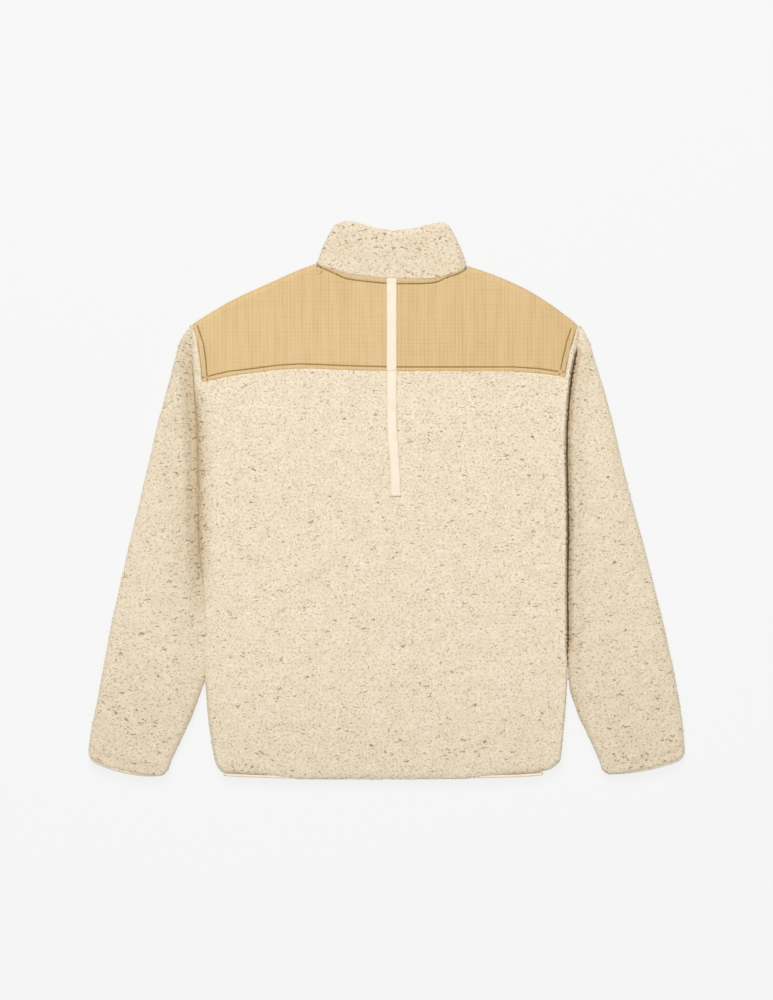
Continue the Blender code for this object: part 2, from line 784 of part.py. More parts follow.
COLLAR_ROWS = (0.0, 0.33, 0.66, 0.86, 0.95, 1.0)
COLLAR_HEIGHT = 60.0
COLLAR_EDGE = (3.6, 9.0)
COLLAR_BOW = 2.6           # its folds bow out half-way up
COLLAR_GAP = 0.8
COLLAR_LEFT = NECK_LEFT - 0.6


def collar_top_y(x, layer):
    if layer > 0:
        return smooth_table(COLLAR_TOP_ROWS, x)
    left, right = COLLAR_TOP_ROWS[0], COLLAR_TOP_ROWS[-1]
    edge = left if x < NECK_MID else right
    share = min(abs(x - NECK_MID) / abs(edge[0] - NECK_MID), 1.0)
    return mix(COLLAR_FRONT_TOP, edge[1], share**1.6)


def make_collar():
    """Stand collar: one wall from the zip, round the folds at the neck and back to the zip."""
    ends = {LEFT: COLLAR_LEFT, RIGHT: NECK_RIGHT}
    zip_line = zip_x(front_neck_y(NECK_MID))
    lower_steps = {}
    for side, end in ends.items():
        start = zip_line + side * CHANNEL
        places = [NECK_MID + side * d for d in reversed(NECK_STEPS)]
        lower_steps[side] = [0.0] + [(place - start) / (end - start) for place in places]
    columns = strip_columns(MID, WALL, (0.11, 0.2, 0.3, 0.4, 0.5, 0.6, 0.7, 0.8, 0.92), lower_steps)
    top_left, top_right = COLLAR_TOP_ROWS[0][0], COLLAR_TOP_ROWS[-1][0]

    def spot(column, height, skin):
        layer = column[0]
        base_x = strip_x(column, ends[LEFT], ends[RIGHT], zip_line, skin)
        top_x = strip_x(column, top_left, top_right, zip_x(COLLAR_FRONT_TOP), skin)
        base_y = neck_y(base_x) if layer > 0 else front_neck_y(base_x)
        bow = COLLAR_BOW * sin(pi * height) if column[2] in (0.0, 1.0) else 0.0
        x = mix(base_x, top_x, height) + column[1] * bow
        return x, mix(base_y + COLLAR_GAP, collar_top_y(top_x, layer), height)

    def point(height, column):
        drop = edge_drop((1 - height) * COLLAR_HEIGHT, *COLLAR_EDGE)
        out_x, out_y = spot(column, height, 0)
        in_x, in_y = spot(column, height, 1)
        out_rise = column[3][1] * (1 - drop / MID)
        return ((out_x, out_y, MID + column[0] * out_rise),
                (in_x, in_y, MID + column[0] * column[4][1]))

    outer, inner = skins(COLLAR_ROWS, columns, point)
    wall("collar", SHERPA, outer, inner)


def make_hem_binding():
    """Binding round the lower edge, open at the zip."""
    upper_steps = (0.06, 0.12, 0.2, 0.3, 0.4, 0.5, 0.6, 0.7, 0.8, 0.88, 0.94)
    lower_steps = dict.fromkeys((LEFT, RIGHT), (0.0, 0.25, 0.5, 0.75, 0.9))
    columns = strip_columns(MID - BINDING_INSET, BINDING_WALL, upper_steps, lower_steps)
    left, right = HEM_ROWS[2][0], HEM_ROWS[-3][0]
    middle = zip_x(hem_y(0))

    def point(rise, column):
        layer = column[0]
        out_x = strip_x(column, left, right, middle, 0)
        in_x = strip_x(column, left, right, middle, 1)
        return ((out_x, hem_y(out_x) + rise, MID + layer * column[3][1]),
                (in_x, hem_y(in_x) + rise, MID + layer * column[4][1]))

    outer, inner = skins((BINDING, 0.0), columns, point)
    wall("hem_binding", BINDING_CLOTH, outer, inner)


def make_zip_tape(side):
    """Woven tape beside the zip's line, from the hem to the top of the collar."""
    low_y, high_y = hem_y(0) + PANEL_HEM, COLLAR_FRONT_TOP
    edges = (ZIP_TAPE_IN, CHANNEL - GAP)

    def point(y, distance):
        x = zip_x(y) + side * distance
        return (x, y, ZIP_TAPE_LOW), (x, y, ZIP_TAPE_LOW + ZIP_TAPE_WALL)

    outer, inner = skins((low_y, high_y), edges, point)
    wall("zip_tape_left" if side == LEFT else "zip_tape_right", TAPE, outer, inner)


# Blocks of the slider from its middle: x and y, and z above the ground
SLIDER_PLATE = ((-5.5, -7.0, PLATE_LOW), (5.5, 7.0, PLATE_HIGH))
SLIDER_PARTS = (
    # name, low corner, high corner
    ("inner_plate", (-5.0, -6.0, INNER_PLATE_LOW), (5.0, 7.0, INNER_PLATE_LOW + 0.9)),
    ("post", (-0.75, 2.5, PLATE_HIGH - FUSED), (0.75, 6.3, INNER_PLATE_LOW + FUSED)),
    ("front_leg", (-1.4, 3.2, 1.3), (1.4, 4.2, PLATE_LOW + FUSED)),
    ("back_leg", (-1.4, -4.2, 1.3), (1.4, -3.2, PLATE_LOW + FUSED)),
    ("bridge_bar", (-1.4, -4.4, 0.9), (1.4, 4.4, 1.75)),
)


def make_slider():
    """Two plates joined by a post between the tapes, with a bridge that holds the pull tab."""
    middle = Vector((zip_x(SLIDER_Y), SLIDER_Y, 0.0))
    slider = block("zip_slider", METAL, *(middle + Vector(corner) for corner in SLIDER_PLATE))
    for name, low, high in SLIDER_PARTS:
        fused(slider, name, middle + Vector(low), middle + Vector(high))


TAB_ROWS = (
    # y from the pivot, half width of the hole, half width of the tab
    (0.6, 2.2, 3.4),
    (-0.6, 2.2, 3.6),
    (-6.6, 2.2, 3.9),
    (-9.5, 2.2, 3.2),
    (-22.0, 2.4, 4.2),
    (-TAB_LENGTH, 1.8, 3.0),
)


def make_pull():
    """Flat tab whose cross bar lies under the bridge. Its origin is on its hinge's axis."""

    def point(row, column):
        spot = (column[0] * row[column[1]], row[0])
        return (*spot, TAB_WALL / 2), (*spot, -TAB_WALL / 2)

    outer, inner = skins(TAB_ROWS, ((-1, 2), (-1, 1), (1, 1), (1, 2)), point)
    pull = wall("zip_pull", METAL, outer, inner, left_out=lambda row, column: (row, column) == (1, 1))
    pull.location = Vector((zip_x(SLIDER_Y), SLIDER_Y, PIVOT_Z)) * MM


make_back()
make_yoke()
make_back_tape()
for body_side in (LEFT, RIGHT):
    make_front(body_side)
    make_sleeve(body_side)
    make_zip_tape(body_side)
make_collar()
make_hem_binding()
make_slider()
make_pull()
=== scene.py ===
"""Looks of a sherpa zip jacket that lies flat with its back up."""

import json
from math import pi, radians, sin

import bmesh
import bpy
from mathutils import Matrix, Vector, noise
from mathutils.bvhtree import BVHTree
from mathutils.kdtree import KDTree

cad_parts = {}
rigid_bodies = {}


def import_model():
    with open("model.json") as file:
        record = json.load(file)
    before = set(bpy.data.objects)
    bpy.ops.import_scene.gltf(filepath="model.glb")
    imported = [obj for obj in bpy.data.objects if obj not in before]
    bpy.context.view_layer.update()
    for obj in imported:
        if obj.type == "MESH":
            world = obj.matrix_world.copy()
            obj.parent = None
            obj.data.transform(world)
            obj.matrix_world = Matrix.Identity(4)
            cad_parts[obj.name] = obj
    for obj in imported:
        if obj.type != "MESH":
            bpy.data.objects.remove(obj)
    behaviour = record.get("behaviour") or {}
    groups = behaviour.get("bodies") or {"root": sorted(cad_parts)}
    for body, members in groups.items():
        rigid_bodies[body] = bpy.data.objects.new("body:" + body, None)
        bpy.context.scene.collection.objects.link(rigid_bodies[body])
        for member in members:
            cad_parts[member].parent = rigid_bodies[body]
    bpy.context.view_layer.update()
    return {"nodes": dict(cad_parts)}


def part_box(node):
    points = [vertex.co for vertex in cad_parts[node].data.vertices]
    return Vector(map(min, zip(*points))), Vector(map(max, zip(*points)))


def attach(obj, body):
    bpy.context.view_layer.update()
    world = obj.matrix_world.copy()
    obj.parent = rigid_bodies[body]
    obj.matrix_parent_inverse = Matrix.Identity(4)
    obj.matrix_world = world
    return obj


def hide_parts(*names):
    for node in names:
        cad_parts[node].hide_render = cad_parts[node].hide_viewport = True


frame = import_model()
MM = 0.001


# Table, camera and light.
# The jacket lies on a plain light table, lit from below too so that it keeps its shadows faint,
# and is seen from straight above through a long lens, in soft daylight from its upper end.

FRAME_HEIGHT = 1364.5 * MM       # stretch of table that the picture shows from top to bottom
FRAME_CENTRE = (0.05 * MM, -0.33 * MM)
CAMERA_HEIGHT = 5.0
TABLE_RADIUS = 9.0
TABLE_COLOUR = (0.12, 0.12, 0.12)
TABLE_GLOW = 0.80
DAYLIGHT = (0.96, 0.98, 1.0)
DAYLIGHT_STRENGTH = 0.43
LAMPS = (
    # name, watts, size in m, place
    ("window", 101, 2.0, (-0.5, 2.6, 3.6)),
    ("ceiling", 58, 4.0, (0.0, 0.3, 4.2)),
)


class Wire:
    """The output of a node. Plain arithmetic on it adds Math nodes."""

    def __init__(self, tree, socket):
        self.tree = tree
        self.socket = socket

    def math(self, operation, *others):
        values = dict(enumerate((self, *others)))
        return add(self.tree, "ShaderNodeMath", {"operation": operation}, values)

    def __add__(self, other):
        return self.math("ADD", other)

    def __sub__(self, other):
        return self.math("SUBTRACT", other)

    def __rsub__(self, other):
        return (self * -1).math("ADD", other)

    def __mul__(self, other):
        return self.math("MULTIPLY", other)

    def __truediv__(self, other):
        return self.math("DIVIDE", other)

    def __pow__(self, other):
        return self.math("POWER", other)

    __radd__ = __add__
    __rmul__ = __mul__

    def step(self, low, high):
        """0 below low, 1 above high, soft between them."""
        return add(self.tree, "ShaderNodeMapRange", {"interpolation_type": "SMOOTHSTEP"},
                   {"Value": self, "From Min": low, "From Max": high})


def add(tree, kind, settings=None, values=None, out=0):
    """One node: its settings first, then the values or wires of its sockets."""
    node = tree.nodes.new(kind)
    for name, value in (settings or {}).items():
        setattr(node, name, value)
    for name, value in (values or {}).items():
        if isinstance(value, Wire):
            tree.links.new(value.socket, node.inputs[name])
        else:
            node.inputs[name].default_value = value
    return Wire(tree, node.outputs[out])


def finish_of(name):
    """A new material, its tree and its shader."""
    material = bpy.data.materials.new(name)
    material.use_nodes = True
    return material, material.node_tree, material.node_tree.nodes["Principled BSDF"]


def feed(tree, shader, **wires):
    """Link wires to the shader's sockets, Base_Color for Base Color."""
    for name, wire in wires.items():
        tree.links.new(wire.socket, shader.inputs[name.replace("_", " ")])


def new_piece(bm, name, *materials):
    """An object at the origin from a mesh in metres."""
    mesh = bpy.data.meshes.new(name)
    bm.to_mesh(mesh)
    bm.free()
    for material in materials:
        mesh.materials.append(material)
    piece = bpy.data.objects.new(name, mesh)
    bpy.context.scene.collection.objects.link(piece)
    return piece


table_finish, tree, shader = finish_of("table_white")
shader.inputs["Base Color"].default_value = (*TABLE_COLOUR, 1)
shader.inputs["Roughness"].default_value = 0.9
shader.inputs["Specular IOR Level"].default_value = 0.0
shader.inputs["Emission Color"].default_value = (1, 1, 1, 1)
shader.inputs["Emission Strength"].default_value = TABLE_GLOW

bm = bmesh.new()
bmesh.ops.create_circle(bm, cap_ends=True, segments=48, radius=TABLE_RADIUS)
bmesh.ops.translate(bm, vec=(0, 0, -0.5 * MM), verts=bm.verts)
table = new_piece(bm, "table", table_finish)

lens = bpy.data.cameras.new("camera")
lens.sensor_fit = "VERTICAL"
lens.sensor_height = 24.0
lens.lens = lens.sensor_height * CAMERA_HEIGHT / FRAME_HEIGHT
lens.clip_end = 50.0
camera = bpy.data.objects.new("camera", lens)
camera.location = (*FRAME_CENTRE, CAMERA_HEIGHT)
bpy.context.scene.collection.objects.link(camera)
bpy.context.scene.camera = camera
bpy.context.scene.view_settings.view_transform = "Standard"

world = bpy.data.worlds.new("daylight")
world.use_nodes = True
world.node_tree.nodes["Background"].inputs["Color"].default_value = (*DAYLIGHT, 1)
world.node_tree.nodes["Background"].inputs["Strength"].default_value = DAYLIGHT_STRENGTH
bpy.context.scene.world = world

for name, watts, size, place in LAMPS:
    lamp = bpy.data.lights.new(name, "AREA")
    lamp.energy = watts
    lamp.size = size
    light = bpy.data.objects.new(name, lamp)
    light.location = place
    light.rotation_euler = (-Vector(place)).to_track_quat("-Z", "Y").to_euler()
    bpy.context.scene.collection.objects.link(light)


# Measures of the frame.
# Where the surfaces and rims of its solids lie, for what is laid on them.

YOKE_FOLD = 8.65 * MM            # half the thickness of the fold at the shoulders
NECK_END = 120 * MM              # no armhole lies nearer to the middle than this
NECK_LOW = 260 * MM
NECK_MIDDLE = 7.55 * MM
NECK_HALF = 102.3 * MM           # from there to both neck points
NECK_STEPS = 60                  # points of the neck edge on each side of its middle
YOKE_FLAT = 17.3 * MM            # height of the flat cloth of the yoke
PROBE_HEIGHT = 12 * MM           # of the level rays that find the edges
OUTSIDE = 1.0                    # where rays from the sides start
BELOW_NECK = 0.25                # where rays up the back to the collar start
WIDEST = 240.0                   # x in mm of the body's edge where no ray finds it
RIM_STEP = 0.5 * MM              # between the points along a rim
PAST_END = 100                   # mm added to a distance from the end of a rim
UP = Vector((0, 0, 1))


def cad_surface(node):
    """Where the outside of a CAD solid is, for rays and distances."""
    bm = bmesh.new()
    bm.from_mesh(frame["nodes"][node].data)
    tree = BVHTree.FromBMesh(bm)
    bm.free()
    return tree


BODY_SURFACE = cad_surface("back_body")
COLLAR_SURFACE = cad_surface("collar")
YOKE_SURFACE = cad_surface("back_yoke")


def body_edge(side, y):
    """x in mm of the body's edge, found from that side."""
    start = -OUTSIDE if side == "left" else OUTSIDE
    found = BODY_SURFACE.ray_cast(Vector((start, y * MM, PROBE_HEIGHT)), Vector((-start, 0, 0)))[0]
    return found.x / MM if found else start * WIDEST


def neckline(x):
    """y of the collar's lower edge at x, or nothing past the neck points."""
    return COLLAR_SURFACE.ray_cast(Vector((x, BELOW_NECK, PROBE_HEIGHT)), Vector((0, 1, 0)))[0]


def yoke_rim(bm):
    """Upper rim of the yoke's wall: its edges at the armholes and at the lower seam.

    They lie between a face that looks up and one that looks sideways. Steep ones belong to the
    armholes, level ones to the seam, and the slanting corners between them to neither.
    """
    armholes, hems = [], []
    for edge in bm.edges:
        tilts = [f.normal.z for f in edge.link_faces]
        if max(tilts) < 0.35 or min(abs(t) for t in tilts) > 0.3:
            continue
        if edge.calc_face_angle(0.0) < radians(35) or min(v.co.z for v in edge.verts) < YOKE_FOLD:
            continue
        run = edge.verts[0].co - edge.verts[1].co
        if edge.verts[0].co.y > NECK_LOW and abs(edge.verts[0].co.x) < NECK_END:
            continue
        if abs(run.x) > 0.9 * run.length:
            hems.append(edge)
        elif abs(run.y) > 0.8 * run.length:
            armholes.append(edge)
    return armholes, hems


def chained(edges):
    """Corner points of joined edges, in order, one list for each chain."""
    left = set(edges)
    chains = []
    while left:
        ends = [v for e in left for v in e.verts if sum(o in left for o in v.link_edges) == 1]
        at = ends[0] if ends else next(iter(left)).verts[0]
        chain = [at]
        while True:
            ahead = [e for e in at.link_edges if e in left]
            if not ahead:
                break
            left.remove(ahead[0])
            at = ahead[0].other_vert(at)
            chain.append(at)
        chains.append(chain)
    return chains


def even_points(row, step):
    """Points at an even step along a row of corners."""
    points, gone = [], 0.0
    for start, end in zip(row, row[1:]):
        length = (end - start).length
        while gone < length:
            points.append(start.lerp(end, gone / length))
            gone += step
        gone -= length
    return points


def near_tree(rows):
    """Points along the rows to find the nearest of, those at the ends of a row numbered 0."""
    rows = [even_points(row, RIM_STEP) for row in rows]
    tree = KDTree(sum(len(row) for row in rows))
    for row in rows:
        for number, spot in enumerate(row):
            tree.insert(spot, min(number, len(row) - 1 - number))
    tree.balance()
    return tree


bm = bmesh.new()
bm.from_mesh(frame["nodes"]["back_yoke"].data)
bmesh.ops.remove_doubles(bm, verts=bm.verts, dist=0.01 * MM)
RIM_ROWS = [[[v.co.copy() for v in chain] for chain in chained(edges)] for edges in yoke_rim(bm)]
necks = [neckline(NECK_MIDDLE + NECK_HALF * k / NECK_STEPS)
         for k in range(1 - NECK_STEPS, NECK_STEPS)]
RIM_ROWS.append([[Vector((spot.x, spot.y, YOKE_FLAT)) for spot in necks if spot is not None]])
RIM_TREES = [near_tree(rows) for rows in RIM_ROWS]
bm.free()


def from_rims(spot):
    """Distances in mm from the yoke's armholes, lower seam and neck, far away past their ends."""
    found = [tree.find(spot) for tree in RIM_TREES]
    return [distance / MM + (0 if number else PAST_END) for _, number, distance in found]


# Back of the body.
# One panel of curly sherpa, cream wool with tan and olive flecks down in the pile that are partly
# painted shadow between the curls. It is pressed flat under the yoke and stands up in full curls
# everywhere else.

RIM_ANGLE = radians(50)          # sharper edges of a solid stay sharp
SKIN_CELL = 2.7 * MM             # size of the cells that carry the relief
CURL_SPACING = 4.3 * MM
CURL_STRAND = 0.72 * MM          # radius of one strand of wool
CURL_FLATTEN = 0.7
CURL_LIFT = 0.08 * MM            # curls stand this far out of the skin on top
CURL_SINK = 0.35 * MM            # and lie this deep in it at the sides
CURL_BEND = 75                   # degrees of one bend in the arc of a curl
PILE_FLOOR = 0.15 * MM           # no curl reaches lower
CLUMP_HEIGHT = 1.2               # of the skin's round clumps of pile, in mm
CLUMP_SIZE = 6.5
SWAY = 0.007                     # how far the pattern of the wool is bent to and fro
CURLS = (
    # arcs of a curl, each a radius in mm, below 0 to the right, and its degrees
    ((1.4, 230),),
    ((1.1, 150), (-1.3, 120)),
    ((1.8, 100), (0.9, 160)),
    ((-1.1, 190), (1.6, 90)),
)
# Colours of the wool. PALE also serves the painted highlight, TAN the painted shade in creases, and
# OLIVE the flecks, which are partly painted shadow between curls.
CREAM = (0.86, 0.742, 0.562, 1)
PALE = (0.99, 0.905, 0.765, 1)
TAN = (0.62, 0.46, 0.25, 1)
OLIVE = (0.27, 0.16, 0.035, 1)
# Painted shade: the colour is multiplied by this where the shade of a fold or hollow is full
PAINTED_FOLD_SHADE = (0.68, 0.61, 0.50, 1)   # what the depth of a fold leaves of the colour


def sherpa_finish(name):
    """Curly wool with painted shade and highlights. Patterns lie in the jacket's own millimetres."""
    material, tree, shader = finish_of(name)
    place = add(tree, "ShaderNodeTexCoord", out=3)

    def wool(size, detail=2.0, **stretch):
        """Soft noise with lumps of one size in mm, drawn out along an axis."""
        spot = add(tree, "ShaderNodeVectorMath", {"operation": "MULTIPLY"},
                   {0: bent, 1: (stretch.get("x", 1.0), 1.0, stretch.get("z", 1.0))})
        return add(tree, "ShaderNodeTexNoise", values={
            "Vector": spot, "Scale": 1 / (size * MM), "Detail": detail, "Roughness": 0.6})

    sway = add(tree, "ShaderNodeTexNoise", values={
        "Vector": place, "Scale": 110.0, "Detail": 1.0}, out=1)
    bent = add(tree, "ShaderNodeVectorMath", {"operation": "MULTIPLY_ADD"},
               {0: sway, 1: (SWAY, SWAY, SWAY), 2: place})

    def mixed(factor, below, above, blend="MIX"):
        return add(tree, "ShaderNodeMix", {"data_type": "RGBA", "blend_type": blend},
                   {"Factor": factor, 6: below, 7: above}, out=2)

    # Painted shade from the skin: in folds and hollows, towards the hem and cuffs and on the collar the
    # colour darkens and flecks get denser
    hollow_and_painted_shade = add(tree, "ShaderNodeAttribute", {"attribute_name": "hollow_and_painted_shade"}, out=2)
    patches = wool(7, 2.0).step(0.36, 0.64)
    broad = wool(24, 1.0).step(0.35, 0.65)
    lumps = wool(1.5, 1.0, x=0.55)
    # Small spots for a painted highlight on the curls
    painted_highlight_spots = wool(2.0, 1.0, x=0.55, z=1.4)
    strand = 1 - (wool(3.4) * 2 - 1).math("ABSOLUTE")
    # Painted shade: the colour darkens a little toward tan along the sunk creases of the strands
    crease = (strand ** 3).step(0.80, 1.0)
    # Flecks: partly olive wool, partly painted shadow in the gaps between curls, denser in painted
    # shade
    dash = (wool(3.1, 1.0, x=0.42) + hollow_and_painted_shade * 0.06).step(0.625, 0.71)
    parted = (wool(13, 2.0) + hollow_and_painted_shade * 0.25).step(0.45, 0.58)
    flecks_and_painted_shadow = dash * (0.15 + 0.85 * parted)

    # Pale patches of wool, and small pale spots that are a painted highlight
    colour = mixed(patches * 0.20 + painted_highlight_spots.step(0.48, 0.70) * 0.55, CREAM, PALE)
    colour = mixed(lumps.step(0.40, 0.70) * 0.36 + crease * 0.06 + broad * 0.10, colour, TAN)
    colour = mixed(flecks_and_painted_shadow * 0.70, colour, OLIVE)
    # Painted shade, multiplied into the colour
    colour = mixed(hollow_and_painted_shade, colour, PAINTED_FOLD_SHADE, "MULTIPLY")
    height = (1 - lumps) * 0.9 + (1 - crease) * 0.3 - flecks_and_painted_shadow * 0.6
    bump = add(tree, "ShaderNodeBump", values={
        "Strength": 0.35, "Distance": 0.9 * MM, "Height": height})
    feed(tree, shader, Base_Color=colour, Normal=bump)
    shader.inputs["Roughness"].default_value = 0.95
    shader.inputs["Specular IOR Level"].default_value = 0.12
    shader.inputs["Sheen Weight"].default_value = 0.25
    shader.inputs["Sheen Roughness"].default_value = 0.6
    shader.inputs["Sheen Tint"].default_value = (1.0, 0.95, 0.85, 1)
    return material


SHERPA = sherpa_finish("sherpa_wool")


def smooth_copy(node, shows, rounds):
    """A rounder copy of a CAD solid, its sharp rims kept, with the faces that show marked."""
    bm = bmesh.new()
    bm.from_mesh(frame["nodes"][node].data)
    bmesh.ops.remove_doubles(bm, verts=bm.verts, dist=0.01 * MM)
    bmesh.ops.join_triangles(bm, faces=bm.faces, angle_face_threshold=radians(30),
                             angle_shape_threshold=radians(60))
    crease = bm.edges.layers.float.new("crease_edge")
    for edge in bm.edges:
        edge[crease] = float(edge.calc_face_angle(0.0) > RIM_ANGLE)
    marked = bm.faces.layers.int.new("shown")
    for face in bm.faces:
        face[marked] = int(shows(face))
    blank = new_piece(bm, "blank")
    rounder = blank.modifiers.new("rounder", "SUBSURF")
    rounder.levels = rounder.render_levels = rounds
    bpy.context.view_layer.update()
    bm = bmesh.new()
    bm.from_mesh(blank.evaluated_get(bpy.context.evaluated_depsgraph_get()).to_mesh())
    bpy.data.objects.remove(blank)
    return bm, bm.faces.layers.int["shown"]


def cut_cells(bm, shown, cell):
    """Cut the faces that show until no edge is much longer than the cell size at its place."""
    while True:
        long_edges = [e for e in bm.edges if any(f[shown] for f in e.link_faces)
                      and e.calc_length() > 1.42 * cell((e.verts[0].co + e.verts[1].co) / 2)]
        if not long_edges:
            break
        bmesh.ops.subdivide_edges(bm, edges=long_edges, cuts=1, use_grid_fill=True)
    bmesh.ops.triangulate(bm, faces=[f for f in bm.faces if len(f.verts) > 4])


def skin_verts(bm, shown):
    return [v for v in bm.verts if all(f[shown] for f in v.link_faces)]


def fade(low, high, value):
    """0 at low, 1 at high and a soft step between them."""
    t = min(max((value - low) / (high - low), 0.0), 1.0)
    return t * t * (3 - 2 * t)


def soften(bm, verts, rounds):
    for _ in range(rounds):
        bmesh.ops.smooth_vert(bm, verts=verts, factor=0.5, use_axis_x=True, use_axis_y=True,
                              use_axis_z=True)


def fluff(bm, verts):
    """Push the skin in and out in round clumps of pile, never below the table."""
    bm.normal_update()
    moved = []
    for vert in verts:
        spot = vert.co / (CLUMP_SIZE * MM)
        sway = noise.noise_vector(vert.co / (9 * MM)) * 0.45
        near = noise.voronoi(spot + sway)[0]
        clump = 0.55 - min(near[0], 1.1)
        broad = noise.noise(vert.co / (26 * MM))
        height = CLUMP_HEIGHT * (0.4 + 0.6 * abs(vert.normal.z))
        moved.append(vert.co + vert.normal * MM * height * (clump + 0.35 * broad))
    for vert, spot in zip(verts, moved):
        spot.z = max(spot.z, 0.0)
        vert.co = spot


def curl_shape(arcs, number):
    """A strand of wool, three-sided and bent through its arcs, round its own middle."""
    bm = bmesh.new()
    bmesh.ops.create_circle(bm, cap_ends=True, segments=3, radius=CURL_STRAND,
                            matrix=Matrix.Rotation(pi / 2, 4, "X"))
    tip = bm.faces[:] + bm.edges[:] + bm.verts[:]
    spot, heading = Vector((0, 0, 0)), Vector((0, 1, 0))
    for radius, degrees in arcs:
        centre = spot + Vector((-heading.y, heading.x, 0)) * radius * MM
        angle = radians(degrees) * (1 if radius > 0 else -1)
        tip = bmesh.ops.spin(bm, geom=tip, cent=centre, axis=(0, 0, 1), angle=angle,
                             steps=max(2, round(degrees / CURL_BEND)))["geom_last"]
        turn = Matrix.Rotation(angle, 3, "Z")
        spot = centre + turn @ (spot - centre)
        heading = turn @ heading
    bmesh.ops.recalc_face_normals(bm, faces=bm.faces)
    middle = sum((v.co for v in bm.verts), Vector()) / len(bm.verts)
    bmesh.ops.translate(bm, vec=-middle, verts=bm.verts)
    bmesh.ops.scale(bm, vec=(1, 1, CURL_FLATTEN), verts=bm.verts)
    return new_piece(bm, f"curl_{number}", SHERPA)


curl_shapes = bpy.data.collections.new("curl_shapes")
bpy.context.scene.collection.children.link(curl_shapes)
for number, arcs in enumerate(CURLS):
    shape = curl_shape(arcs, number)
    for face in shape.data.polygons:
        face.use_smooth = True
    bpy.context.scene.collection.objects.unlink(shape)
    curl_shapes.objects.link(shape)


def curly_pile(skin, name, spacing, seed):
    """Curls strewn evenly over the faces that show, as one joined mesh."""
    tree = bpy.data.node_groups.new(name, "GeometryNodeTree")
    tree.interface.new_socket("Geometry", in_out="INPUT", socket_type="NodeSocketGeometry")
    tree.interface.new_socket("Geometry", in_out="OUTPUT", socket_type="NodeSocketGeometry")
    cloth = add(tree, "NodeGroupInput")
    shown = add(tree, "GeometryNodeInputNamedAttribute", {"data_type": "FLOAT"}, {"Name": "pile"})
    points = tree.nodes.new("GeometryNodeDistributePointsOnFaces")
    points.distribute_method = "POISSON"
    tree.links.new(cloth.socket, points.inputs["Mesh"])
    tree.links.new(shown.socket, points.inputs["Density Factor"])
    points.inputs["Distance Min"].default_value = spacing
    points.inputs["Density Max"].default_value = 2.2 / spacing**2
    points.inputs["Seed"].default_value = seed
    strewn, lie = Wire(tree, points.outputs["Points"]), Wire(tree, points.outputs["Rotation"])
    tilt = add(tree, "FunctionNodeRandomValue", {"data_type": "FLOAT_VECTOR"},
               {0: (-0.35, -0.35, -pi), 1: (0.35, 0.35, pi), "Seed": seed + 1})
    turn = add(tree, "FunctionNodeRotateRotation", {"rotation_space": "LOCAL"},
               {"Rotation": lie, "Rotate By": tilt})
    size = add(tree, "FunctionNodeRandomValue", {"data_type": "FLOAT"},
               {2: 0.75, 3: 1.25, "Seed": seed + 2}, out=1)
    shapes = add(tree, "GeometryNodeCollectionInfo", values={
        "Collection": curl_shapes, "Separate Children": True, "Reset Children": True})
    pick = add(tree, "FunctionNodeRandomValue", {"data_type": "INT"},
               {4: 0, 5: len(CURLS) - 1, "Seed": seed + 3}, out=2)
    normal = Wire(tree, points.outputs["Normal"])
    upward = add(tree, "ShaderNodeSeparateXYZ", values={"Vector": normal}, out=2).math("ABSOLUTE")
    lift = upward.step(0.3, 0.9) * (CURL_LIFT + CURL_SINK) - CURL_SINK
    lift = add(tree, "ShaderNodeVectorMath", {"operation": "SCALE"}, {0: normal, "Scale": lift})
    strewn = add(tree, "GeometryNodeSetPosition", values={"Geometry": strewn, "Offset": lift})
    curls = add(tree, "GeometryNodeInstanceOnPoints", values={
        "Points": strewn, "Instance": shapes, "Pick Instance": True, "Instance Index": pick,
        "Rotation": turn, "Scale": size})
    solid = add(tree, "GeometryNodeRealizeInstances", values={"Geometry": curls})
    tree.links.new(solid.socket, tree.nodes.new("NodeGroupOutput").inputs["Geometry"])

    strewer = skin.modifiers.new("curls", "NODES")
    strewer.node_group = tree
    bpy.context.view_layer.update()
    seen = skin.evaluated_get(bpy.context.evaluated_depsgraph_get())
    mesh = bpy.data.meshes.new_from_object(seen)
    skin.modifiers.remove(strewer)
    mesh.name = name
    mesh.materials.clear()
    mesh.materials.append(SHERPA)
    for vert in mesh.vertices:
        vert.co.z = max(vert.co.z, PILE_FLOOR)
    pile = bpy.data.objects.new(name, mesh)
    bpy.context.scene.collection.objects.link(pile)
    return pile


def stand(spot):
    """Most panels stay as the frame gives them."""
    return (0.0, 0.0, 0.0), 0.0


def sherpa_piece(name, node, shows, cell, spacing, seed, settle=stand, smooth=1):
    """The skin of one sherpa panel and the curls on it.

    settle gives each point of the skin its last push in mm, and how much painted shade it gets, 0 to 1.
    """
    bm, shown = smooth_copy(node, shows, smooth)
    cut_cells(bm, shown, lambda spot: cell)
    pile_layer = bm.verts.layers.float.new("pile")
    painted_shade_layer = bm.verts.layers.float.new("hollow_and_painted_shade")
    verts = skin_verts(bm, shown)
    soften(bm, verts, 3)
    bm.verts.index_update()
    pushes = [settle(vert.co / MM) for vert in bm.verts]
    # The painted shade goes to the shader as an attribute of the skin
    for vert, (push, hollow_and_painted_shade) in zip(bm.verts, pushes):
        vert[painted_shade_layer] = hollow_and_painted_shade
    for vert in verts:
        vert.co += Vector(pushes[vert.index][0]) * MM
        vert[pile_layer] = 1.0
    fluff(bm, verts)
    for face in bm.faces:
        face.smooth = True
    skin = new_piece(bm, name, SHERPA)
    pile = curly_pile(skin, name + "_curls", spacing, seed)
    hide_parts(node)
    for part in (skin, pile):
        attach(part, "jacket")
    return skin, pile


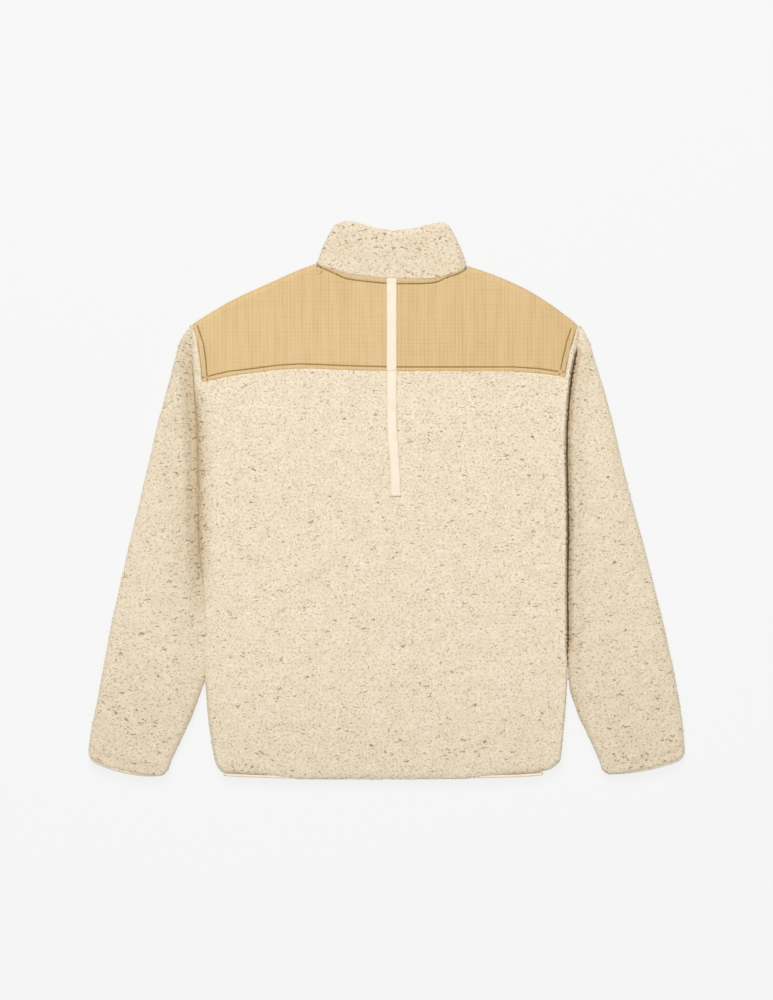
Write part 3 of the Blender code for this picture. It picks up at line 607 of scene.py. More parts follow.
BED_TOP = 14.6 * MM              # highest sherpa that is pressed flat under the yoke
BACK_UNDERSIDE = 9.4 * MM
BED_SIDE = 195 * MM              # further out the bed's corners show past the yoke
HEM_OVERHANG = 5.6               # of the pile over the binding
RIM_OVERHANG = 1.6               # of the pile over the yoke's turned edges
RIM_CREST = 1.0                  # and how much it stands up there
EDGE_SPAN = (-340.0, 232.0)      # y in mm between which the body's side edges run

# Where the pile is pushed or given painted shade. Each pair goes in mm from where that begins to
# where it is full, along x, y, z or away from the body's edge.
HEM_BAND = (-358, -372)
HEM_LEFT, HEM_RIGHT = (-185, -115), (172, 105)   # the binding shows at both ends of the hem
HEM_SHADE_BAND = (-200, -370)
TIP_BAND, TIP_SIDES = (218, 232), (235, 255)
ARMHOLE_BAND, ARMHOLE_SIDE = (200, 214), (240, 252)
UPPER_PILE = (11.0, 12.5)
RIM_REACH = (5.0, 1.0)
SIDE_X = 200                     # the sides begin here
RIGHT_TOP, RIGHT_LOW = (206, 190), (-225, -200)
RIGHT_RIM, RIGHT_CREST = (6, 0), (8, 2)
LEFT_TOP, LEFT_LOW, LEFT_RIM = (222, 200), (-262, -240), (14, 0)
HOLLOW_TOP, HOLLOW_LOW, HOLLOW_WIDTH = (165, 110), (-170, -60), (24, 0)
SEAM_TOP, SEAM_LOW, SEAM_REACH = (165, 130), (-130, -70), (9, 1)


def back_shows(face):
    """Not the underside and not the bed of the yoke. The edges slope lower than the bed does."""
    middle = face.calc_center_median()
    if face.normal.z < -0.9 or middle.z < BACK_UNDERSIDE + 0.2 * MM:
        return False
    if max(v.co.z for v in face.verts) > BED_TOP:
        return True
    return abs(middle.x) > BED_SIDE and YOKE_SURFACE.ray_cast(middle + UP * MM, UP)[0] is None


def from_edge(side, spot):
    """Distance in mm of a point from the body's edge on that side."""
    low, high = EDGE_SPAN
    return abs(spot.x - body_edge(side, min(max(spot.y, low), high)))


def painted_seam_shade(away, y):
    """Painted shade of the pile along the left armhole seam."""
    return 0.30 * fade(*SEAM_REACH, away) * fade(*SEAM_LOW, y) * fade(*SEAM_TOP, y)


def ragged(y, length, row):
    """Uneven edge of the pile along y, with waves of a length in mm."""
    return noise.noise(Vector((row, y / length, 0)))


def back_settle(spot):
    """Pile hangs over the yoke's edges, sleeve seams and hem binding; painted shade at the hem and left
    hollow.
    """
    covered = fade(*HEM_LEFT, spot.x) * fade(*HEM_RIGHT, spot.x)
    hem = fade(*HEM_BAND, spot.y) * covered
    tip = fade(*TIP_BAND, spot.y) * fade(*TIP_SIDES, abs(spot.x))
    armhole = fade(*ARMHOLE_BAND, spot.y) * fade(*ARMHOLE_SIDE, spot.x)
    push = Vector((1.2 * armhole, 2.6 * tip - HEM_OVERHANG * hem, 0.0))
    # Painted shade, deeper towards the hem
    shade = 0.10 * fade(*HEM_SHADE_BAND, spot.y)
    near = [tree.find(spot * MM) for tree in RIM_TREES[:2]]
    rim, _, distance = min(near, key=lambda found: found[2])
    over = fade(*RIM_REACH, distance / MM)
    if over > 0:
        towards = rim - spot * MM
        towards.z = 0
        push += (towards.normalized() * RIM_OVERHANG + UP * RIM_CREST) * over
    if spot.x > SIDE_X:
        away = from_edge("right", spot)
        edge = fade(*RIGHT_RIM, away) * fade(*RIGHT_TOP, spot.y) * fade(*RIGHT_LOW, spot.y)
        push.x -= (1.9 + 2.2 * ragged(spot.y, 2.8, 3)) * edge
        crest = 2.8 * fade(*RIGHT_CREST, away) * fade(*RIGHT_TOP, spot.y)
        push.z += crest * fade(*UPPER_PILE, spot.z)
    elif spot.x < -SIDE_X:
        away = from_edge("left", spot)
        push.x -= 2.2 * fade(*LEFT_RIM, away) * fade(*LEFT_LOW, spot.y) * fade(*LEFT_TOP, spot.y)
        hollow_and_painted_shade = fade(*HOLLOW_WIDTH, away) * fade(*HOLLOW_LOW, spot.y) * fade(*HOLLOW_TOP, spot.y)
        push.z -= 2.0 * hollow_and_painted_shade
        # Painted shade in the hollow and along the seam
        shade += 0.50 * hollow_and_painted_shade + painted_seam_shade(away, spot.y)
    return push, shade


back, back_curls = sherpa_piece("back", "back_body", back_shows, SKIN_CELL, CURL_SPACING, 3,
                                settle=back_settle)


# Sleeves.
# Each is one flat tube of the same sherpa, sewn into the armhole and bound at the cuff. The left
# one slopes down to the body in a broad trough, the right one lies against it.

LAYER_MIDDLE = 9.15 * MM         # the inner skins of a flat tube meet here
INNER_PLAY = 0.2 * MM
TROUGH_DEPTH = 4.5               # in mm, beside the left armhole
TROUGH_GAP = 5.4                 # how far the left sleeve comes in over its seam
CRACK_DEPTH = 4.0                # beside the right armhole
CUFF_OVERHANG = 5.8
CUFF_LINES = {"left": Vector((-0.18, -0.984)), "right": Vector((0.175, -0.985))}

# Pairs as for the back
SEAM_RIM, UPPER_LAYER = (14, 0), (-1, 3)
SLEEVE_TIP, CROWN = (196, 212), (222, 234)
TROUGH_WIDTH, TROUGH_LOW, TROUGH_TOP = (24, 2), (-190, -60), (225, 170)
TROUGH_SHADE, TROUGH_SHADE_LOW = (62, 15), (-230, -120)
CRACK_WIDTH, CRACK_LOW, CRACK_SHADE = (10, 0), (-215, -190), (32, 12)
CRACK_CLOSES = (-50, -160)       # narrower towards the underarm
CUFF_REACH, CUFF_SHADE = (9.0, 2.0), (-130, -330)


def tube_shows(face):
    return any(abs(v.co.z - LAYER_MIDDLE) > INNER_PLAY for v in face.verts)


def sleeve_settle(side):
    """Settle of one sleeve: it falls away to the body's seam and hangs over its cuff binding; its pile
    gets painted shade.
    """
    binding = cad_surface("cuff_binding_" + side)
    inward = 1 if side == "left" else -1

    def settle(spot):
        away = from_edge(side, spot)
        close = fade(*SEAM_RIM, away) * fade(*LEFT_LOW, spot.y)
        tip = fade(*SLEEVE_TIP, spot.y)
        upper = fade(*UPPER_LAYER, spot.z - LAYER_MIDDLE / MM)
        if side == "left":
            depth, gap = TROUGH_DEPTH, TROUGH_GAP
            hollow_and_painted_shade = fade(*TROUGH_LOW, spot.y) * fade(*TROUGH_TOP, spot.y)
            hollow_and_painted_shade *= fade(*TROUGH_WIDTH, away) * upper
            wide_painted_shade = 0.20 * fade(*TROUGH_SHADE, away) * fade(*TROUGH_SHADE_LOW, spot.y) * upper
            # Painted shade in the trough, broadly beside it and along the seam
            shade = 0.55 * hollow_and_painted_shade + wide_painted_shade + painted_seam_shade(away, spot.y)
        else:
            depth = CRACK_DEPTH
            gap = -0.8 - 2.4 * ragged(spot.y, 3, 0) + 2.2 * tip + 1.5 * fade(*CRACK_CLOSES, spot.y)
            hollow_and_painted_shade = fade(*CRACK_LOW, spot.y) * (1 - tip) * fade(*CRACK_WIDTH, away) * upper
            # Painted shade in and beside the crack
            shade = 0.55 * hollow_and_painted_shade + 0.20 * fade(*CRACK_SHADE, away) * (1 - tip)
        push = Vector((inward * close * gap, 2.4 * fade(*CROWN, spot.y), -depth * hollow_and_painted_shade))
        cuff = fade(*CUFF_REACH, binding.find_nearest(spot * MM)[3] / MM)
        push.xy += CUFF_LINES[side] * CUFF_OVERHANG * cuff
        push.z += (spot.z - LAYER_MIDDLE / MM) * 0.5 * cuff
        # Painted shade over the whole sleeve, deeper towards the cuff
        return push, shade + 0.09 + 0.09 * fade(*CUFF_SHADE, spot.y)

    return settle


SEAM_WIDTH = 8.0                 # in mm, half of it under each cloth
SEAM_WALL = 1.0
SEAM_ENDS = (-228, 222)          # y in mm
SEAM_STEPS = 50
# Painted shade: the seams are dark, the right one near black, so that the gaps beside the sleeves read
# as deep
SEAM_PAINTED_SHADE_COLOURS = {"left": (0.42, 0.31, 0.16), "right": (0.085, 0.052, 0.02)}


def armhole_seam(side):
    """The sewn edges of body and sleeve, turned in between their two layers, dark as painted shade in
    the gaps.
    """
    rows = []
    for k in range(SEAM_STEPS + 1):
        y = SEAM_ENDS[0] + (SEAM_ENDS[1] - SEAM_ENDS[0]) * k / SEAM_STEPS
        middle = body_edge(side, y)
        rows.append([
            Vector((middle + x * SEAM_WIDTH / 2, y, LAYER_MIDDLE / MM + z * SEAM_WALL / 2)) * MM
            for x, z in ((-1, -1), (1, -1), (1, 1), (-1, 1))])
    bm = bmesh.new()
    rings = [[bm.verts.new(spot) for spot in row] for row in rows]
    for low, high in zip(rings, rings[1:]):
        for k in range(4):
            bm.faces.new((low[k], low[(k + 1) % 4], high[(k + 1) % 4], high[k]))
    for ring in (rings[0], rings[-1]):
        bm.faces.new(ring)
    bmesh.ops.recalc_face_normals(bm, faces=bm.faces)
    backing, _, shader = finish_of("knit_backing_with_painted_shade_" + side)
    shader.inputs["Base Color"].default_value = (*SEAM_PAINTED_SHADE_COLOURS[side], 1)
    shader.inputs["Roughness"].default_value = 0.9
    seam = new_piece(bm, "armhole_seam_" + side, backing)
    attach(seam, "jacket")
    return seam


for seed, side in ((11, "left"), (12, "right")):
    sleeve, sleeve_curls = sherpa_piece("sleeve_of_wool_" + side, "sleeve_" + side, tube_shows,
                                        2.9 * MM, 4.7 * MM, seed, settle=sleeve_settle(side), smooth=0)
    armhole_seam(side)


# Fronts.
# Two sherpa panels under the back, their pile on the table, with the zip between them. The yoke
# is carried over the shoulders onto their upper edges.

FRONT_TOP = 8.9 * MM             # plain side of a front, towards the back
WRAP_BED = 2.7 * MM              # pile pressed flat under the yoke's wrap
FRONT_CELL = 4.6 * MM            # coarser than behind, since the fronts are hidden
FRONT_SPACING = 8.6 * MM


def front_shows(face):
    if min(v.co.z for v in face.verts) > FRONT_TOP:
        return False
    return not (face.normal.z < -0.9 and min(v.co.z for v in face.verts) > WRAP_BED)


for seed, side in ((21, "left"), (22, "right")):
    front, front_curls = sherpa_piece("front_panel_" + side, "front_" + side, front_shows,
                                      FRONT_CELL, FRONT_SPACING, seed, smooth=0)


# Collar.
# A stand collar of sherpa on both of its sides, folded flat at the neck points and open at the
# zip. Its pile hangs a little over the yoke's neck edge.

COLLAR_OVERHANG = 2.4
# Painted shade over the collar's upper skin
COLLAR_SHADE = 0.2
COLLAR_MIDDLE = 4.0              # x in mm half-way between the neck points
COLLAR_EDGE, COLLAR_ENDS = (8, 1), (84, 94)


def collar_settle(spot):
    """The pile hangs over the yoke's neck edge behind and stands free in front; its upper skin gets
    painted shade.
    """
    if spot.z < LAYER_MIDDLE / MM:
        return (0.0, 0.0, 0.0), 0.0
    base = neckline(spot.x * MM)
    if base is None:
        return (0.0, 0.0, 0.0), COLLAR_SHADE
    near = fade(*COLLAR_EDGE, spot.y - base.y / MM)
    ends = fade(*COLLAR_ENDS, abs(spot.x - COLLAR_MIDDLE))
    return (0.0, -(COLLAR_OVERHANG + 1.5 * ends) * near, (1.0 - ends) * near), COLLAR_SHADE


collar, collar_curls = sherpa_piece("stand_collar", "collar", tube_shows, 2.4 * MM, 4.6 * MM, 31,
                                    settle=collar_settle)

for shape in list(curl_shapes.objects):
    bpy.data.objects.remove(shape)
bpy.data.collections.remove(curl_shapes)


# Yoke.
# Khaki ripstop laid over the shoulders, with a turned and topstitched edge at the neck, the
# armholes and the lower seam. The cloth puckers softly between its seams.

ARMHOLE_STRIP = 7.1              # turned edge in mm, from the rim to its sunk stitching
SEAM_STRIP = 6.2
NECK_STRIP = (8.6, 5.0)          # in the middle and at the neck points
NECK_NARROWS = (55, 85)          # from where to where it gets narrower, away from the middle
STRIP_HEIGHT = 1.0
GROOVE_WIDTH = 1.0
GROOVE_DEPTH = 1.6
EDGE_BAND = 10.5                 # fine cells near the rims
FINE_CELL, COARSE_CELL = 1.0 * MM, 3.2 * MM
PUCKER_START = (8, 16)           # the cloth is flat next to its seams
ABOVE_NECK = 0.36                # where rays down the back to the neck edge start
NECK_PUSH_START = 75 * MM        # from the middle
NECK_PUSH_END, NECK_PUSH_REACH = (102, 93), (14, 2)
STITCH_PITCH = 3.1 * MM
STITCH_LENGTH = 2.5 * MM
STITCH_RADIUS = 0.42 * MM
STITCH_SLACK = 0.9               # how far in mm a stitch may lie off its line
NO_STITCH = 5 * MM               # bare ends of the neck row
SHOULDER_TURN = 14 * MM          # the rows end where the yoke turns down over the shoulder
PUCKERS = (
    # x, its low end and its high end, width, depth
    (-241, 172, 232, 2.6, 0.40),
    (-226, 176, 240, 5.0, -0.25),
    (-205, 175, 250, 2.2, 0.55),
    (-196, 176, 262, 6.0, -0.30),
    (-178, 180, 240, 3.0, 0.22),
    (-160, 182, 252, 4.0, 0.18),
    (-127, 215, 290, 3.6, 0.28),
    (-109, 184, 240, 3.0, 0.30),
    (-88, 184, 250, 4.5, 0.20),
    (-70, 184, 226, 2.6, 0.26),
    (-52, 182, 262, 4.0, 0.16),
    (-24, 182, 236, 3.0, 0.20),
    (32, 180, 226, 3.2, 0.18),
    (58, 180, 262, 4.4, 0.15),
    (88, 180, 275, 2.6, 0.40),
    (97, 182, 262, 3.0, 0.30),
    (112, 180, 226, 5.2, -0.22),
    (127, 180, 240, 2.6, 0.34),
    (148, 180, 262, 4.2, 0.18),
    (168, 180, 226, 3.0, 0.20),
    (184, 188, 262, 3.2, 0.36),
    (200, 180, 212, 2.2, 0.34),
    (214, 182, 240, 4.6, -0.20),
    (230, 176, 236, 3.0, 0.38),
)
KHAKI = (0.735, 0.53, 0.272, 1)
KHAKI_DEEP = (0.56, 0.37, 0.155, 1)
SEAM_BROWN = (0.33, 0.19, 0.06, 1)
RIPSTOP_PITCH = 5.2
WEAVE_PITCH = 2.3                # threads of the plain weave to a mm


def ripstop_finish(name):
    """Plain weave with a grid of thicker yarns, the upright ones stronger, seam shade and broad painted
    shade.
    """
    material, tree, shader = finish_of(name)
    place = add(tree, "ShaderNodeTexCoord", out=3)
    x = add(tree, "ShaderNodeSeparateXYZ", values={"Vector": place}, out=0) * 1000
    y = add(tree, "ShaderNodeSeparateXYZ", values={"Vector": place}, out=1) * 1000
    seam = add(tree, "ShaderNodeAttribute", {"attribute_name": "seam"}, out=2)

    def cloth_noise(across, along, detail=2.0):
        """Soft noise with lumps of these sizes in mm along x and y."""
        spot = add(tree, "ShaderNodeVectorMath", {"operation": "MULTIPLY"},
                   {0: place, 1: (1 / (across * MM), 1 / (along * MM), 60.0)})
        return add(tree, "ShaderNodeTexNoise", values={
            "Vector": spot, "Scale": 1.0, "Detail": detail})

    def yarn(along, wander):
        """1 on a thick yarn and 0 between two."""
        apart = (along + wander * 0.9).math("PINGPONG", RIPSTOP_PITCH / 2)
        return 1 - apart.step(0.2, 1.3)

    upright = yarn(x, cloth_noise(30, 200)) * cloth_noise(7, 60).step(0.3, 0.7)
    level = yarn(y, cloth_noise(200, 30)) * cloth_noise(60, 7).step(0.3, 0.75)
    streak = cloth_noise(9, 110, 3.0).step(0.35, 0.7)
    fine = (x * WEAVE_PITCH).math("PINGPONG", 0.5) + (y * WEAVE_PITCH).math("PINGPONG", 0.5)
    # Painted shade: the cloth is a little darker right of the tape, more so near the right armhole, and
    # at the top of the left shoulder
    right_painted_shade = x.step(-4, 12) * 0.10 + x.step(190, 250) * 0.10
    upper = y.step(215, 300) * (1 - x.step(-60, 0)) * 0.08
    shade = upright * 0.42 + level * 0.26 + streak * 0.22 + fine * 0.08 + right_painted_shade + upper
    colour = add(tree, "ShaderNodeMix", {"data_type": "RGBA"},
                 {"Factor": shade, 6: KHAKI, 7: KHAKI_DEEP}, out=2)
    colour = add(tree, "ShaderNodeMix", {"data_type": "RGBA"},
                 {"Factor": seam, 6: colour, 7: SEAM_BROWN}, out=2)
    height = (upright + level) * 0.6 + fine * 0.25
    bump = add(tree, "ShaderNodeBump", values={
        "Strength": 0.35, "Distance": 0.25 * MM, "Height": height})
    feed(tree, shader, Base_Color=colour, Normal=bump)
    shader.inputs["Roughness"].default_value = 0.72
    shader.inputs["Specular IOR Level"].default_value = 0.3
    return material


def thread_finish(name, colour):
    """Twisted sewing thread."""
    material, tree, shader = finish_of(name)
    place = add(tree, "ShaderNodeTexCoord", out=3)
    ply = add(tree, "ShaderNodeTexNoise", values={"Vector": place, "Scale": 2600.0, "Detail": 1.0})
    dark = tuple(c * 0.7 for c in colour)
    shades = add(tree, "ShaderNodeMix", {"data_type": "RGBA"},
                 {"Factor": ply.step(0.4, 0.6), 6: (*colour, 1), 7: (*dark, 1)}, out=2)
    bump = add(tree, "ShaderNodeBump", values={"Strength": 0.5, "Distance": 0.1 * MM, "Height": ply})
    feed(tree, shader, Base_Color=shades, Normal=bump)
    shader.inputs["Roughness"].default_value = 0.6
    return material


def yoke_shows(face):
    """Its upper side, and the part that is carried over the shoulders."""
    return face.normal.z > 0.2 and max(v.co.z for v in face.verts) > YOKE_FOLD or (
        face.normal.z < 0.2 and (face.calc_center_median().z < YOKE_FOLD or face.normal.y > 0.2))


def strip_relief(away, line):
    """Height in mm of a turned edge and its sunk stitching, and how much seam shade it has."""
    half = (line - 0.6 * GROOVE_WIDTH) / 2
    strip = STRIP_HEIGHT * max(1 - abs(away / half - 1)**3, 0.0)
    sunk = max(1 - abs(away - line) / GROOVE_WIDTH, 0.0)
    return strip - GROOVE_DEPTH * sunk, min(1.4 * sunk, 1.0)


def pucker(spot):
    """Drop in mm of the soft upright folds."""
    drop = 0.0
    x, y = spot.x / MM, spot.y / MM
    for line, low, high, width, depth in PUCKERS:
        off = (x - line - 2.5 * noise.noise(Vector((line, y / 30, 0)))) / width
        if abs(off) < 3 and low < y < high:
            drop += depth * 2.718**(-off * off) * sin(pi * (y - low) / (high - low))**0.6
    return drop


def stitch(bm, spot, along, length, radius):
    """One short stitch, a slim bead drawn out along its row."""
    side = along.cross(UP).normalized()
    turn = Matrix((side, along, UP)).transposed().to_4x4()
    matrix = Matrix.Translation(spot) @ turn @ Matrix.Diagonal((radius, length / 2, radius * 0.8, 1))
    bmesh.ops.create_uvsphere(bm, u_segments=6, v_segments=5, radius=1.0,
                              matrix=matrix @ Matrix.Rotation(pi / 2, 4, "X"))


def stitch_row(bm, points, pitch, length, radius):
    """Stitches at an even pitch along a row of points."""
    gone = 0.0
    for start, end in zip(points, points[1:]):
        along = end - start
        while gone < along.length:
            spot = start + along * (gone / along.length)
            stitch(bm, spot, along.normalized(), length, radius)
            gone += pitch
        gone -= along.length


def neck_strip(spot):
    """Width in mm of the turned edge at the neck."""
    middle, end = NECK_STRIP
    return middle + (end - middle) * fade(*NECK_NARROWS, abs(spot.x / MM - COLLAR_MIDDLE))


def edge_cell(spot):
    near_rim = spot.z > YOKE_FOLD and min(from_rims(spot)) < EDGE_BAND
    return FINE_CELL if near_rim else COARSE_CELL


def neck_push(spot):
    """Push of the yoke's neck edge up to the collar, near the neck points."""
    off = abs(spot.x - NECK_MIDDLE)
    edge = neckline(spot.x)
    if off < NECK_PUSH_START or off > NECK_HALF or edge is None:
        return 0.0
    start = Vector((spot.x, ABOVE_NECK, YOKE_FLAT - 0.8 * MM))
    rim = YOKE_SURFACE.ray_cast(start, Vector((0, -1, 0)))[0]
    if rim is None:
        return 0.0
    gap = max(edge.y - 0.5 * MM - rim.y, 0.0)
    return gap * fade(*NECK_PUSH_REACH, (rim.y - spot.y) / MM) * fade(*NECK_PUSH_END, off / MM)


RIPSTOP = ripstop_finish("khaki_ripstop")
KHAKI_THREAD = thread_finish("khaki_thread", (0.30, 0.17, 0.055))

bm, shown = smooth_copy("back_yoke", yoke_shows, 1)
cut_cells(bm, shown, edge_cell)
for vert in bm.verts:
    vert.co.y += neck_push(vert.co)
seam_shade = bm.verts.layers.float.new("seam")
surface = BVHTree.FromBMesh(bm)
bm.normal_update()
for vert in skin_verts(bm, shown):
    if vert.co.z < YOKE_FOLD or vert.normal.z < 0.1:
        continue
    fold = surface.ray_cast(Vector((vert.co.x, OUTSIDE, YOKE_FOLD)), Vector((0, -1, 0)))[0]
    side, seam, neck = from_rims(vert.co)
    if side < ARMHOLE_STRIP + GROOVE_WIDTH:
        relief, vert[seam_shade] = strip_relief(side, ARMHOLE_STRIP)
    elif seam < neck:
        relief, vert[seam_shade] = strip_relief(seam, SEAM_STRIP)
    else:
        relief, vert[seam_shade] = strip_relief(neck, neck_strip(vert.co))
    if fold is None or vert.co.y < fold.y - YOKE_FOLD:
        inside = fade(*PUCKER_START, min(side, seam, neck))
        vert.co.z = YOKE_FLAT + (relief - pucker(vert.co) * inside) * MM
    else:
        vert.co += vert.normal * relief * 0.5 * MM
for face in bm.faces:
    face.smooth = True
surface = BVHTree.FromBMesh(bm)
yoke = new_piece(bm, "yoke", RIPSTOP)


def inside_row(row, line_at, kind):
    """Points of the topstitching in the sunk line inside a rim, kind 0 to 2 as in RIM_ROWS."""
    points = []
    row = even_points(row, 1.5 * MM)
    for before, spot, after in zip(row, row[1:], row[2:]):
        line = line_at(spot)
        side = UP.cross((after - before).normalized()).normalized() * line * MM
        for guess in (spot + side, spot - side):
            below = surface.ray_cast(guess + UP * 20 * MM, -UP)[0]
            if below is None or below.z < YOKE_FOLD:
                continue
            away = from_rims(below)
            at_neck_point = kind == 2 and abs(below.x - NECK_MIDDLE) > NECK_HALF - NO_STITCH
            if at_neck_point or below.z < SHOULDER_TURN:
                continue
            if abs(away[kind] - line) < STITCH_SLACK and (kind == 0 or away[0] > ARMHOLE_STRIP):
                points.append(below + UP * 0.25 * MM)
    return points


bm = bmesh.new()
for kind, line_at in enumerate((lambda spot: ARMHOLE_STRIP, lambda spot: SEAM_STRIP, neck_strip)):
    for row in RIM_ROWS[kind]:
        stitch_row(bm, inside_row(row, line_at, kind), STITCH_PITCH, STITCH_LENGTH, STITCH_RADIUS)
for face in bm.faces:
    face.smooth = True
yoke_stitches = new_piece(bm, "yoke_stitches", KHAKI_THREAD)
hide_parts("back_yoke")
for part in (yoke, yoke_stitches):
    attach(part, "jacket")


# Centre-back tape.
# A plain cream woven tape sewn down the middle of the back, over the yoke and on to the pile,
# where its end is turned under square and stitched across.

TAPE_CREAM = (0.97, 0.86, 0.70)
TAPE_CELL = 2.0 * MM
SIDE_ROWS = (0.1, 0.9)           # stitch rows at these shares of the tape's width
SIDE_STEPS = 80
END_ROWS = (3.0, 7.0)            # and across it, in mm from its lower end
END_STEPS = 8
THREAD_PITCH = 3.0 * MM
THREAD_LENGTH = 2.3 * MM
THREAD_RADIUS = 0.3 * MM


def woven_finish(name, colour, rib, across="y"):
    """Narrow woven cloth with ribs across it, rib mm apart."""
    material, tree, shader = finish_of(name)
    place = add(tree, "ShaderNodeTexCoord", out=3)
    axes = {axis: add(tree, "ShaderNodeSeparateXYZ", values={"Vector": place}, out=number) * 1000
            for number, axis in enumerate("xyz")}
    ribs = (axes[across] / rib * 2).math("PINGPONG", 1.0)
    yarn = add(tree, "ShaderNodeTexNoise", values={"Vector": place, "Scale": 1400.0, "Detail": 1.0})
    wear = add(tree, "ShaderNodeTexNoise", values={"Vector": place, "Scale": 70.0, "Detail": 2.0})
    dark = tuple(c * d for c, d in zip(colour, (0.88, 0.84, 0.76)))
    shade = ribs * 0.25 + yarn * 0.35 + wear.step(0.4, 0.7) * 0.3
    mixed = add(tree, "ShaderNodeMix", {"data_type": "RGBA"},
                {"Factor": shade, 6: (*colour, 1), 7: (*dark, 1)}, out=2)
    bump = add(tree, "ShaderNodeBump", values={
        "Strength": 0.4, "Distance": 0.2 * MM, "Height": ribs + yarn * 0.4})
    feed(tree, shader, Base_Color=mixed, Normal=bump)
    shader.inputs["Roughness"].default_value = 0.8
    shader.inputs["Specular IOR Level"].default_value = 0.25
    return material


def every_face(face):
    return True


def woven_piece(name, node, material, cell, rests_on, with_pieces=()):
    """A strip of tape or binding, its edges a little rounded."""
    bm, shown = smooth_copy(node, every_face, 1)
    cut_cells(bm, shown, lambda spot: cell)
    for face in bm.faces:
        face.smooth = True
    piece = new_piece(bm, name, material)
    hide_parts(node)
    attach(piece, "jacket")


TAPE = woven_finish("cream_tape", TAPE_CREAM, 0.9)
CREAM_THREAD = thread_finish("cream_thread", (0.90, 0.76, 0.56))

TAPE_SURFACE = cad_surface("back_tape")
low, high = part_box("back_tape")


def on_tape(x, y):
    """Point on the tape's face straight below."""
    return TAPE_SURFACE.ray_cast(Vector((x, y, 0.1)), -UP)[0]


def tape_side(y, share):
    """Point on the tape's face at y, at a share of its width from its left edge."""
    height = on_tape((low.x + high.x) / 2, y).z - 0.4 * MM
    left, right = (TAPE_SURFACE.ray_cast(Vector((start, y, height)), Vector((-start, 0, 0)))[0]
                   for start in (-0.1, 0.1))
    if left is None or right is None:
        return None
    return on_tape(left.x + (right.x - left.x) * share, y)


rows = [[tape_side(low.y + (high.y - low.y) * (k + 0.5) / SIDE_STEPS, share) for k in range(SIDE_STEPS)]
        for share in SIDE_ROWS]
first, last = SIDE_ROWS
rows += [[tape_side(low.y + rise * MM, first + (last - first) * k / END_STEPS)
          for k in range(END_STEPS + 1)] for rise in END_ROWS]
bm = bmesh.new()
for row in rows:
    row = [spot + UP * 0.05 * MM for spot in row if spot is not None]
    stitch_row(bm, row, THREAD_PITCH, THREAD_LENGTH, THREAD_RADIUS)
for face in bm.faces:
    face.smooth = True
tape_stitches = new_piece(bm, "tape_stitches", CREAM_THREAD)
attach(tape_stitches, "jacket")
woven_piece("centre_tape", "back_tape", TAPE, TAPE_CELL,
            ("yoke", "back"), [tape_stitches])


# Bindings.
# Cream woven binding folded over the raw edge of the sherpa at the hem and at both cuffs. It
# shows only where the pile doesn't hang over it.

BINDING_LENGTHS = (("hem_binding", 0.53), ("cuff_binding_left", 0.24), ("cuff_binding_right", 0.24))
BINDING = woven_finish("cream_binding", (0.95, 0.85, 0.68), 1.1, across="x")
for node, length in BINDING_LENGTHS:
    woven_piece(node + "_woven", node, BINDING, 2.4 * MM, ("table",))


# Zip.
# Woven tapes on both sides of moulded teeth, closed up to the collar, with a metal slider and its
# pull tab. It lies hidden on the table, under the back.

ZIP_MIDDLE = ((-380.0, -2.0), (311.0, 7.6))      # y and x in mm at the hem and at the top
TOOTH_PITCH = 2.9
TOOTH_SIZE = (2.3, 1.15, 2.1)
TOOTH_OFFSET = 0.75              # to its own side of the zip's line
TOOTH_TAPER = 0.35
TOOTH_HEIGHT = 6.1
TEETH_LOW, TEETH_HIGH = -373.0, 287.0
METAL_PIECES = (
    # name, node, body, width of the rounded edges in mm
    ("slider", "zip_slider", "jacket", 0.22),
    ("pull", "zip_pull", "pull_tab", 0.3),
)


def zip_x(y):
    """x in mm of the zip's line."""
    (low_y, low_x), (high_y, high_x) = ZIP_MIDDLE
    return low_x + (high_x - low_x) * (y - low_y) / (high_y - low_y)


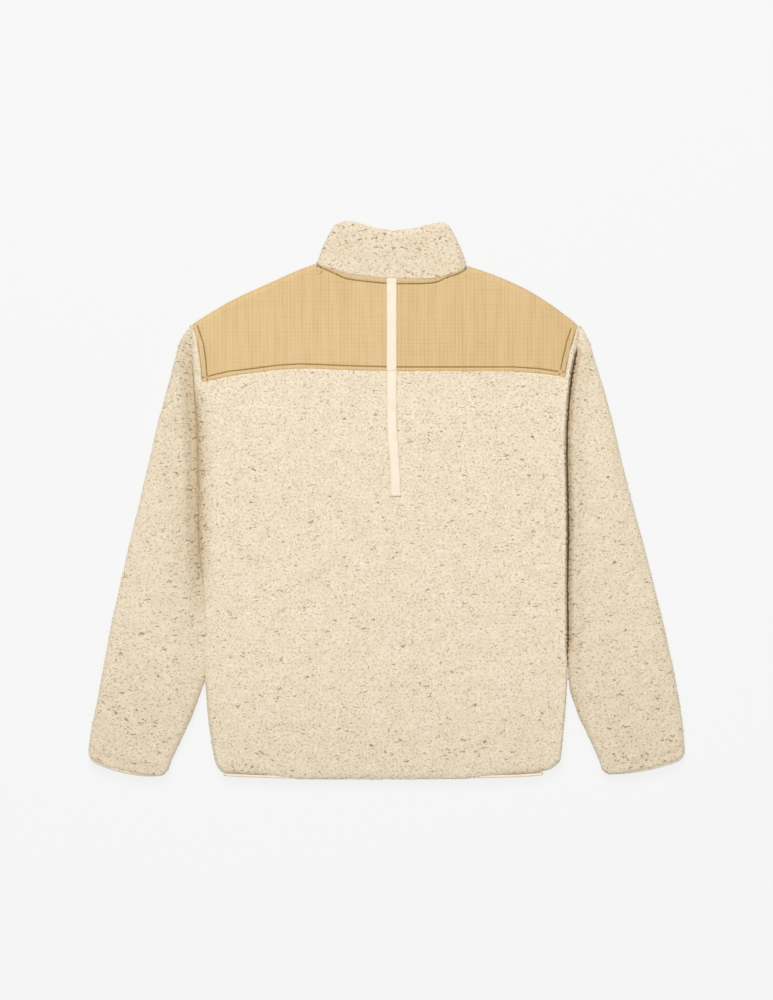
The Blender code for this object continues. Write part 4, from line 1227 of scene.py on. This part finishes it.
def metal_finish(name, colour, roughness):
    """Brushed die-cast metal, darker in patches of wear."""
    material, tree, shader = finish_of(name)
    place = add(tree, "ShaderNodeTexCoord", out=3)
    drawn = add(tree, "ShaderNodeVectorMath", {"operation": "MULTIPLY"},
                {0: place, 1: (4000.0, 500.0, 4000.0)})
    brush = add(tree, "ShaderNodeTexNoise", values={"Vector": drawn, "Scale": 1.0, "Detail": 2.0})
    worn = add(tree, "ShaderNodeTexNoise", values={"Vector": place, "Scale": 350.0, "Detail": 2.0})
    dark = tuple(c * 0.7 for c in colour)
    mixed = add(tree, "ShaderNodeMix", {"data_type": "RGBA"},
                {"Factor": worn.step(0.4, 0.7), 6: (*colour, 1), 7: (*dark, 1)}, out=2)
    bump = add(tree, "ShaderNodeBump", values={
        "Strength": 0.15, "Distance": 0.05 * MM, "Height": brush})
    feed(tree, shader, Base_Color=mixed, Normal=bump, Roughness=brush * 0.15 + roughness)
    shader.inputs["Metallic"].default_value = 1.0
    return material


ZIP_TAPE = woven_finish("zip_tape_cloth", (0.88, 0.77, 0.60), 0.7)
METAL = metal_finish("zip_metal", (0.66, 0.61, 0.53), 0.28)

bm = bmesh.new()
count = int((TEETH_HIGH - TEETH_LOW) / TOOTH_PITCH)
for number in range(2 * count):
    side = 1 if number % 2 else -1
    y = TEETH_LOW + number * TOOTH_PITCH / 2
    spot = Vector((zip_x(y) + side * TOOTH_OFFSET, y, TOOTH_HEIGHT)) * MM
    tooth = bmesh.ops.create_cube(bm, size=1.0, matrix=Matrix.Translation(spot) @ Matrix.Diagonal(
        (*(s * MM for s in TOOTH_SIZE), 1)))["verts"]
    for vert in tooth:
        if (vert.co.x - spot.x) * side < 0:
            vert.co.y += (spot.y - vert.co.y) * TOOTH_TAPER
    edges = list({e for v in tooth for e in v.link_edges})
    bmesh.ops.bevel(bm, geom=edges, offset=0.22 * MM, segments=1, profile=0.5, affect="EDGES",
                    material=-1)
for face in bm.faces:
    face.smooth = False
teeth = new_piece(bm, "zip_teeth", ZIP_TAPE)
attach(teeth, "jacket")
for side in ("left", "right"):
    woven_piece("zip_cloth_" + side, "zip_tape_" + side, ZIP_TAPE, 3.0 * MM,
                ("front_panel_" + side,), [teeth] if side == "left" else [])

for name, node, body, width in METAL_PIECES:
    bm = bmesh.new()
    bm.from_mesh(frame["nodes"][node].data)
    bmesh.ops.remove_doubles(bm, verts=bm.verts, dist=0.01 * MM)
    bmesh.ops.join_triangles(bm, faces=bm.faces, angle_face_threshold=radians(1),
                             angle_shape_threshold=pi)
    bmesh.ops.dissolve_limit(bm, angle_limit=radians(1), verts=bm.verts, edges=bm.edges)
    edges = [e for e in bm.edges if e.calc_face_angle(0.0) > radians(30)]
    bmesh.ops.bevel(bm, geom=edges, offset=width * MM, segments=2, profile=0.5, affect="EDGES",
                    material=-1, clamp_overlap=True)
    piece = new_piece(bm, name, METAL)
    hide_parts(node)
    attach(piece, body)
